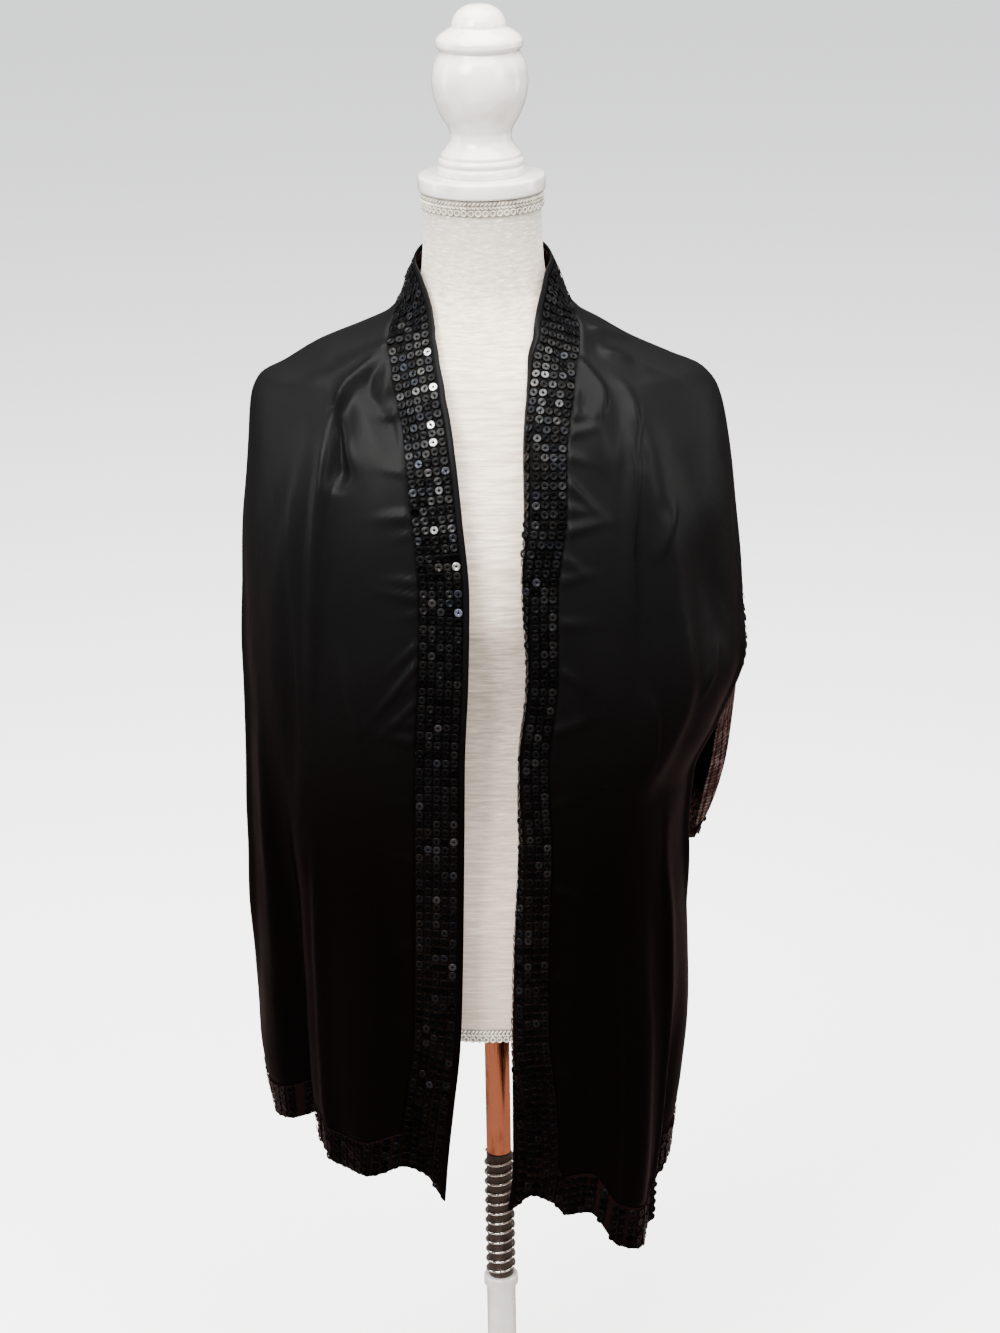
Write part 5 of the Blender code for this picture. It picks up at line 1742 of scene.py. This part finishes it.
class FormShape:
    """The dress form's own shape, as level cuts."""

    def __init__(self) -> None:
        self.lines = {name: column(FORM_RINGS, name) for name in FormRing._fields[1:]}

    def points(self, angles: Array, heights: Array, out: float = 0.0) -> Array:
        """Points of the form at angles from the front and heights, moved out level."""
        at_front = np.cos(angles) >= 0
        read = {name: line(heights) for name, line in self.lines.items()}
        depth = np.where(at_front, read["front_depth"], read["back_depth"])
        pinch = np.where(at_front, read["front_pinch"], read["back_pinch"])
        x, y = oval(angles, read["half_width"] + out, depth + out, pinch)
        return np.stack([x, y, heights + 0 * x], axis=-1)

    def wrapped(self, name: str, heights: Array, sides: int, out: float, closed: bool) -> Mesh:
        """Wraps a grid round the form.

        Args:
            name: the mesh's name.
            heights: the rows' heights.
            sides: the number of columns.
            out: how far outside the form.
            closed: whether its top and foot are filled.

        Returns:
            The mesh.
        """
        angles = np.linspace(-math.pi, math.pi, sides + 1)
        points = self.points(angles + 0 * heights[:, None], heights[:, None] + 0 * angles, out)
        flat = np.stack(np.broadcast_arrays(angles * FORM_GIRTH, heights[:, None]), axis=-1)
        mesh = moved_grid(name, points, flat)
        shape = bmesh.new()
        shape.from_mesh(mesh)
        bmesh.ops.remove_doubles(shape, verts=shape.verts, dist=MERGE)
        if closed:
            bmesh.ops.holes_fill(shape, edges=[edge for edge in shape.edges if edge.is_boundary], sides=0)
            bmesh.ops.recalc_face_normals(shape, faces=shape.faces)
        return written(shape, mesh)

    def even(self, height: float, out: float, count: int) -> tuple[Array, Array]:
        """Places spread evenly round a level cut.

        Args:
            height: the cut's height.
            out: how far outside the form.
            count: the number of places.

        Returns:
            The places, and the directions along the cut.
        """
        angles = np.linspace(-math.pi, math.pi, 1441)
        line = self.points(angles, np.full(angles.shape, height), out)
        marks = np.concatenate([[0.0], np.cumsum(np.linalg.norm(np.diff(line, axis=0), axis=1))])
        wanted = (np.arange(count) + 0.5) / count * marks[-1]
        places = np.stack([np.interp(wanted, marks, line[:, axis]) for axis in range(3)], axis=-1)
        ahead = np.stack([np.interp(wanted + 1e-3, marks, line[:, axis]) for axis in range(3)], axis=-1)
        return places, unit(ahead - places)


@dataclass(frozen=True)
class Torso:
    """The padded torso under its linen cover, and its two gimp braids."""

    shape: FormShape
    finishes: Finishes
    sides: int = 168
    row_step: float = 0.0055
    tape_thickness: float = 0.0010
    tape_height: float = 0.0122
    tape_rows: int = 7
    bead_pitch: float = 0.0035
    loop_pitch: float = 0.0060
    loop_radius: float = 0.0022
    cord_radius: float = 0.00070

    def build_linen(self) -> Piece:
        """Builds the linen cover, closed at its top and its foot."""
        heights = np.linspace(FORM_HEM, NECK_TOP, round((NECK_TOP - FORM_HEM) / self.row_step))
        mesh = self.shape.wrapped("torso_linen", heights, self.sides, 0.0, True)
        piece = add_piece(mesh.name, mesh, Slot.LINEN, (self.finishes.linen,))
        mesh.set_sharp_from_angle(angle=math.radians(50.0))
        return settle(piece, "form_body")

    def tape(self, name: str, low: float, finish: Material, node: str) -> None:
        """Builds the flat tape that carries a braid's cords."""
        heights = np.linspace(low, low + self.tape_height, self.tape_rows)
        mesh = self.shape.wrapped(name, heights, self.sides, PIECE_GAP + self.tape_thickness / 2, False)
        piece = add_piece(name, mesh, Slot.GIMP, (finish,))
        add_wall(piece, self.tape_thickness, False)
        settle(piece, node)

    def count(self, height: float, out: float, pitch: float) -> int:
        """How many parts of a braid go round the form at a pitch."""
        places = self.shape.even(height, out, 181)[0]
        return round(float(np.linalg.norm(np.diff(places, axis=0), axis=1).sum()) / pitch)

    def beads(self, name: str, low: float, finish: Material) -> None:
        """Builds the two slanting rows of a braid's herringbone."""
        bead = bmesh.new()
        bmesh.ops.create_uvsphere(bead, u_segments=8, v_segments=5, radius=1.0)
        bmesh.ops.scale(bead, verts=bead.verts, vec=(0.0023, 0.00095, 0.0011))
        scatter = Scatter(bead, 0.001)
        places, axes = [], []
        out = PIECE_GAP + self.tape_thickness + 0.0002
        count = self.count(low, out, self.bead_pitch)
        for level, lean in ((0.80, 0.75), (0.53, -0.55)):
            row, along = self.shape.even(low + self.tape_height * level, out, count)
            outward = np.cross(along, (0.0, 0.0, 1.0))
            upright = np.array((0.0, 0.0, 1.0)) + 0 * along
            slanting = along * math.cos(lean) + upright * math.sin(lean)
            places.append(row)
            axes.append(axes_from(slanting, outward))
        mesh = scatter.joined(name, np.concatenate(places), np.concatenate(axes), {})
        settle(add_piece(name, mesh, Slot.GIMP, (finish,)))

    def loops(self, name: str, low: float, finish: Material) -> None:
        """Builds the row of small loops along a braid's lower edge."""
        ring = bmesh.new()
        spot = Matrix.Translation((self.loop_radius, 0.0, 0.0)) @ Matrix.Rotation(math.pi / 2, 4, "X")
        bmesh.ops.create_circle(ring, segments=5, radius=self.cord_radius, matrix=spot)
        spin = dict(cent=(0, 0, 0), axis=(0, 0, 1), angle=math.tau, steps=11, use_merge=True)
        bmesh.ops.spin(ring, geom=ring.verts[:] + ring.edges[:], **spin)
        bmesh.ops.remove_doubles(ring, verts=ring.verts, dist=MERGE)
        scatter = Scatter(ring, 0.001)
        out = PIECE_GAP + self.tape_thickness + 0.0003
        height = low + self.loop_radius * 0.95
        places, along = self.shape.even(height, out, self.count(low, out, self.loop_pitch))
        axes = axes_from(along, np.cross(along, (0.0, 0.0, 1.0)))
        mesh = scatter.joined(name, places, axes, {})
        settle(add_piece(name, mesh, Slot.GIMP, (finish,)))

    def build_braids(self) -> None:
        """Builds the braids at the neck and at the hem."""
        neck = NECK_TOP - PIECE_GAP - self.tape_height
        braids = ("neck", neck, self.finishes.gimp), ("hem", FORM_HEM, self.finishes.hem_gimp)
        for title, low, finish in braids:
            self.tape(f"{title}_braid_tape", low, self.finishes.tape, f"{title}_braid")
            self.beads(f"{title}_braid_plait", low, finish)
            self.loops(f"{title}_braid_loops", low, finish)


@dataclass(frozen=True)
class Turnings:
    """The turned finial with its disc, and the stand below the torso."""

    finishes: Finishes
    steps: int = 96
    disc_radius: float = 0.054
    disc_thickness: float = 0.0138
    pole_radius: float = 0.0118
    pole_foot: float = 0.3745
    tube_radius: float = 0.0121
    coil_radius: float = 0.0134
    coil_wire: float = 0.0024
    coil_foot: float = 0.2400
    coil_top: float = 0.3725
    coil_pitch: float = 0.0107
    coil_start: float = 25.0
    coil_steps: int = 30
    collar_radius: float = 0.0165
    column_radius: float = 0.0140
    base_radius: float = 0.175
    base_thickness: float = 0.020

    def turned(
        self, node: str, profile: Profile, slot: Slot, finish: Material,
        sharp: float = 32.0,
    ) -> None:
        """Makes one turned piece that stands for its CAD node."""
        mesh = turned_mesh(node + "_turned", profile, self.steps, sharp)
        piece = add_piece(mesh.name, mesh, slot, (finish,))
        mesh.set_sharp_from_angle(angle=math.radians(sharp))
        settle(piece, node)

    def build_finial(self) -> None:
        """Builds the disc on the neck and the finial on it."""
        foot = NECK_TOP + PIECE_GAP
        top = foot + self.disc_thickness
        edge = self.disc_radius
        disc = [(0.0, top), (edge - 0.0030, top), (edge - 0.0012, top - 0.0004)]
        disc += [(edge - 0.0003, top - 0.0013), (edge, top - 0.0028)]
        disc += [(edge, foot + 0.0022), (edge - 0.0004, foot + 0.0009)]
        disc += [(edge - 0.0014, foot + 0.0001), (edge - 0.0030, foot), (0.0, foot)]
        self.turned("neck_disc", disc, Slot.PAINT, self.finishes.paint, 60.0)
        profile = eased_profile(FINIAL, 4)
        self.turned("finial", profile, Slot.PAINT, self.finishes.paint, 60.0)

    def build_stand(self) -> None:
        """Builds the pole, the lower tube, whose dark colour is a painted reflection, the column and the
        base.
        """
        top = FORM_HEM - PIECE_GAP
        pole = [(0.0, top), (self.pole_radius, top), (self.pole_radius, self.pole_foot + 0.0008)]
        pole += [(self.pole_radius - 0.0008, self.pole_foot), (0.0, self.pole_foot)]
        self.turned("pole", pole, Slot.COPPER, self.finishes.copper)
        collar_top = self.coil_foot - self.coil_wire / 2 - PIECE_GAP
        tube_top = self.pole_foot - PIECE_GAP
        tube_foot = collar_top + PIECE_GAP
        tube = [(0.0, tube_top), (self.tube_radius, tube_top)]
        tube += [(self.tube_radius, tube_foot), (0.0, tube_foot)]
        self.turned("lower_tube", tube, Slot.CHROME, self.finishes.tube)
        plate = self.base_thickness
        rim = self.collar_radius
        stem = [(0.0, collar_top), (rim - 0.0015, collar_top)]
        stem += [(rim, collar_top - 0.0015), (rim, collar_top - 0.0100)]
        stem += [(self.column_radius, collar_top - 0.0140), (self.column_radius, plate + 0.0320)]
        foot = ((0.0156, 0.0240), (0.0200, 0.0160), (0.0255, 0.0095), (0.0320, 0.0050), (0.0360, PIECE_GAP))
        stem += [(radius, plate + height) for radius, height in foot + ((0.0, PIECE_GAP),)]
        self.turned("stand_column", stem, Slot.METAL_PAINT, self.finishes.stand_paint)
        edge = self.base_radius
        rim = ((0.0250, 0.0014), (0.0120, 0.0040), (0.0060, 0.0070), (0.0020, 0.0110))
        base = [(0.0, plate), (0.1300, plate)] + [(edge - inset, plate - drop) for inset, drop in rim]
        base += [(edge, 0.0040), (edge - 0.0020, 0.0), (0.0, 0.0)]
        self.turned("base_plate", base, Slot.METAL_PAINT, self.finishes.stand_paint)

    def build_spring(self) -> None:
        """Builds the spring round the tube, with its free end standing up at the top."""
        turns = (self.coil_top - self.coil_foot) / self.coil_pitch
        steps = round(turns * self.coil_steps)
        wire = bmesh.new()
        first = Matrix.Rotation(math.radians(self.coil_start), 4, "Z")
        spot = first @ Matrix.Translation((self.coil_radius, 0.0, self.coil_foot))
        spot = spot @ Matrix.Rotation(math.pi / 2, 4, "X")
        bmesh.ops.create_circle(wire, segments=8, radius=self.coil_wire / 2, matrix=spot)
        rise = (0.0, 0.0, (self.coil_top - self.coil_foot) / steps)
        spin = dict(cent=(0, 0, 0), axis=(0, 0, 1), dvec=rise, angle=math.tau * turns, steps=steps)
        bmesh.ops.spin(wire, geom=wire.verts[:] + wire.edges[:], **spin)
        bmesh.ops.remove_doubles(wire, verts=wire.verts, dist=MERGE)
        bmesh.ops.holes_fill(wire, edges=[edge for edge in wire.edges if edge.is_boundary], sides=0)
        bmesh.ops.recalc_face_normals(wire, faces=wire.faces)
        mesh = written(wire, bpy.data.meshes.new("spring_wire"))
        piece = add_piece(mesh.name, mesh, Slot.CHROME, (self.finishes.chrome,))
        settle(piece, "coil")


@dataclass(frozen=True)
class Studio:
    """A plain pale floor, soft lights and the camera."""

    finishes: Finishes
    focal_pixels: float = 2850.0
    frame_pixels: float = 1333.0
    sensor: float = 24.0
    pitch: float = 20.7
    roll: float = 0.95
    place: tuple[float, float, float] = (0.00877, -2.3916, 1.7735)
    floor_size: float = 40.0
    world_strength: float = 1.90
    horizon: float = 0.22
    sky: Colour = (0.97, 0.985, 1.0)
    flagged_sky: Colour = (0.100, 0.100, 0.106)

    def build_floor(self) -> None:
        """Builds the floor, which runs out of view on every side."""
        shape = bmesh.new()
        bmesh.ops.create_grid(shape, x_segments=8, y_segments=8, size=self.floor_size)
        mesh = written(shape, bpy.data.meshes.new("floor"))
        mesh.materials.append(self.finishes.floor)
        floor = bpy.data.objects.new("floor", mesh)
        bpy.context.scene.collection.objects.link(floor)

    def build_lights(self) -> None:
        """Builds the even sky and the soft boxes."""
        world = bpy.data.worlds.new("studio")
        world.use_nodes = True
        sky = world.node_tree.nodes["Background"]
        graph = Graph(world.node_tree)
        seen = graph.node("ShaderNodeLightPath").outputs["Is Glossy Ray"]
        up = graph.parts(graph.node("ShaderNodeTexCoord").outputs["Generated"])[2]
        dim = tuple(self.horizon * share for share in self.sky)
        glow = graph.mix(graph.spread(up, 0.05, 0.90), dim, self.sky)
        glow = graph.mix(seen, glow, self.flagged_sky)
        world.node_tree.links.new(glow, sky.inputs["Color"])
        sky.inputs["Strength"].default_value = self.world_strength
        bpy.context.scene.world = world
        for box in SOFT_BOXES:
            light = bpy.data.lights.new(box.name, "AREA")
            light.shape = "RECTANGLE"
            light.size = box.width
            light.size_y = box.height
            light.energy = box.power
            light.color = box.colour
            lamp = bpy.data.objects.new(box.name, light)
            away = Vector(box.place) - Vector((0.0, 0.0, box.aim_height))
            turn = away.to_track_quat("Z", "Y").to_matrix().to_4x4()
            lamp.matrix_world = Matrix.Translation(box.place) @ turn
            bpy.context.scene.collection.objects.link(lamp)

    def build_camera(self) -> None:
        """Builds the camera where the photo was taken from."""
        camera = bpy.data.cameras.new("camera")
        camera.sensor_fit = "VERTICAL"
        camera.sensor_height = self.sensor
        camera.lens = self.sensor * self.focal_pixels / self.frame_pixels
        eye = bpy.data.objects.new("camera", camera)
        tilt = Matrix.Rotation(math.radians(90.0 - self.pitch), 4, "X")
        roll = Matrix.Rotation(math.radians(-self.roll), 4, "Z")
        eye.matrix_world = Matrix.Translation(self.place) @ tilt @ roll
        bpy.context.scene.collection.objects.link(eye)
        bpy.context.scene.camera = eye


def main() -> None:
    """Builds every piece, the studio and the camera."""
    logging.basicConfig(level=logging.INFO, format="%(name)s %(message)s")
    finishes = Finishes(Effects())
    studio = Studio(finishes)
    studio.build_camera()
    torso = Torso(FormShape(), finishes)
    linen = torso.build_linen()
    torso.build_braids()
    drape = Drape()
    halves = (
        Half(drape, Side.LEFT, LEFT_OUTER_EDGE, LEFT_MATCHES),
        Half(drape, Side.RIGHT, RIGHT_OUTER_EDGE, RIGHT_MATCHES),
    )
    stole = Stole(halves, finishes)
    stole.build_satin()
    stole.build_binding()
    bands = Bands(halves, finishes, Sequins())
    bands.build_long_bands(linen)
    bands.build_hem_bands(linen)
    turnings = Turnings(finishes)
    turnings.build_finial()
    turnings.build_stand()
    turnings.build_spring()
    studio.build_floor()
    studio.build_lights()


if __name__ == "__main__":
    main()
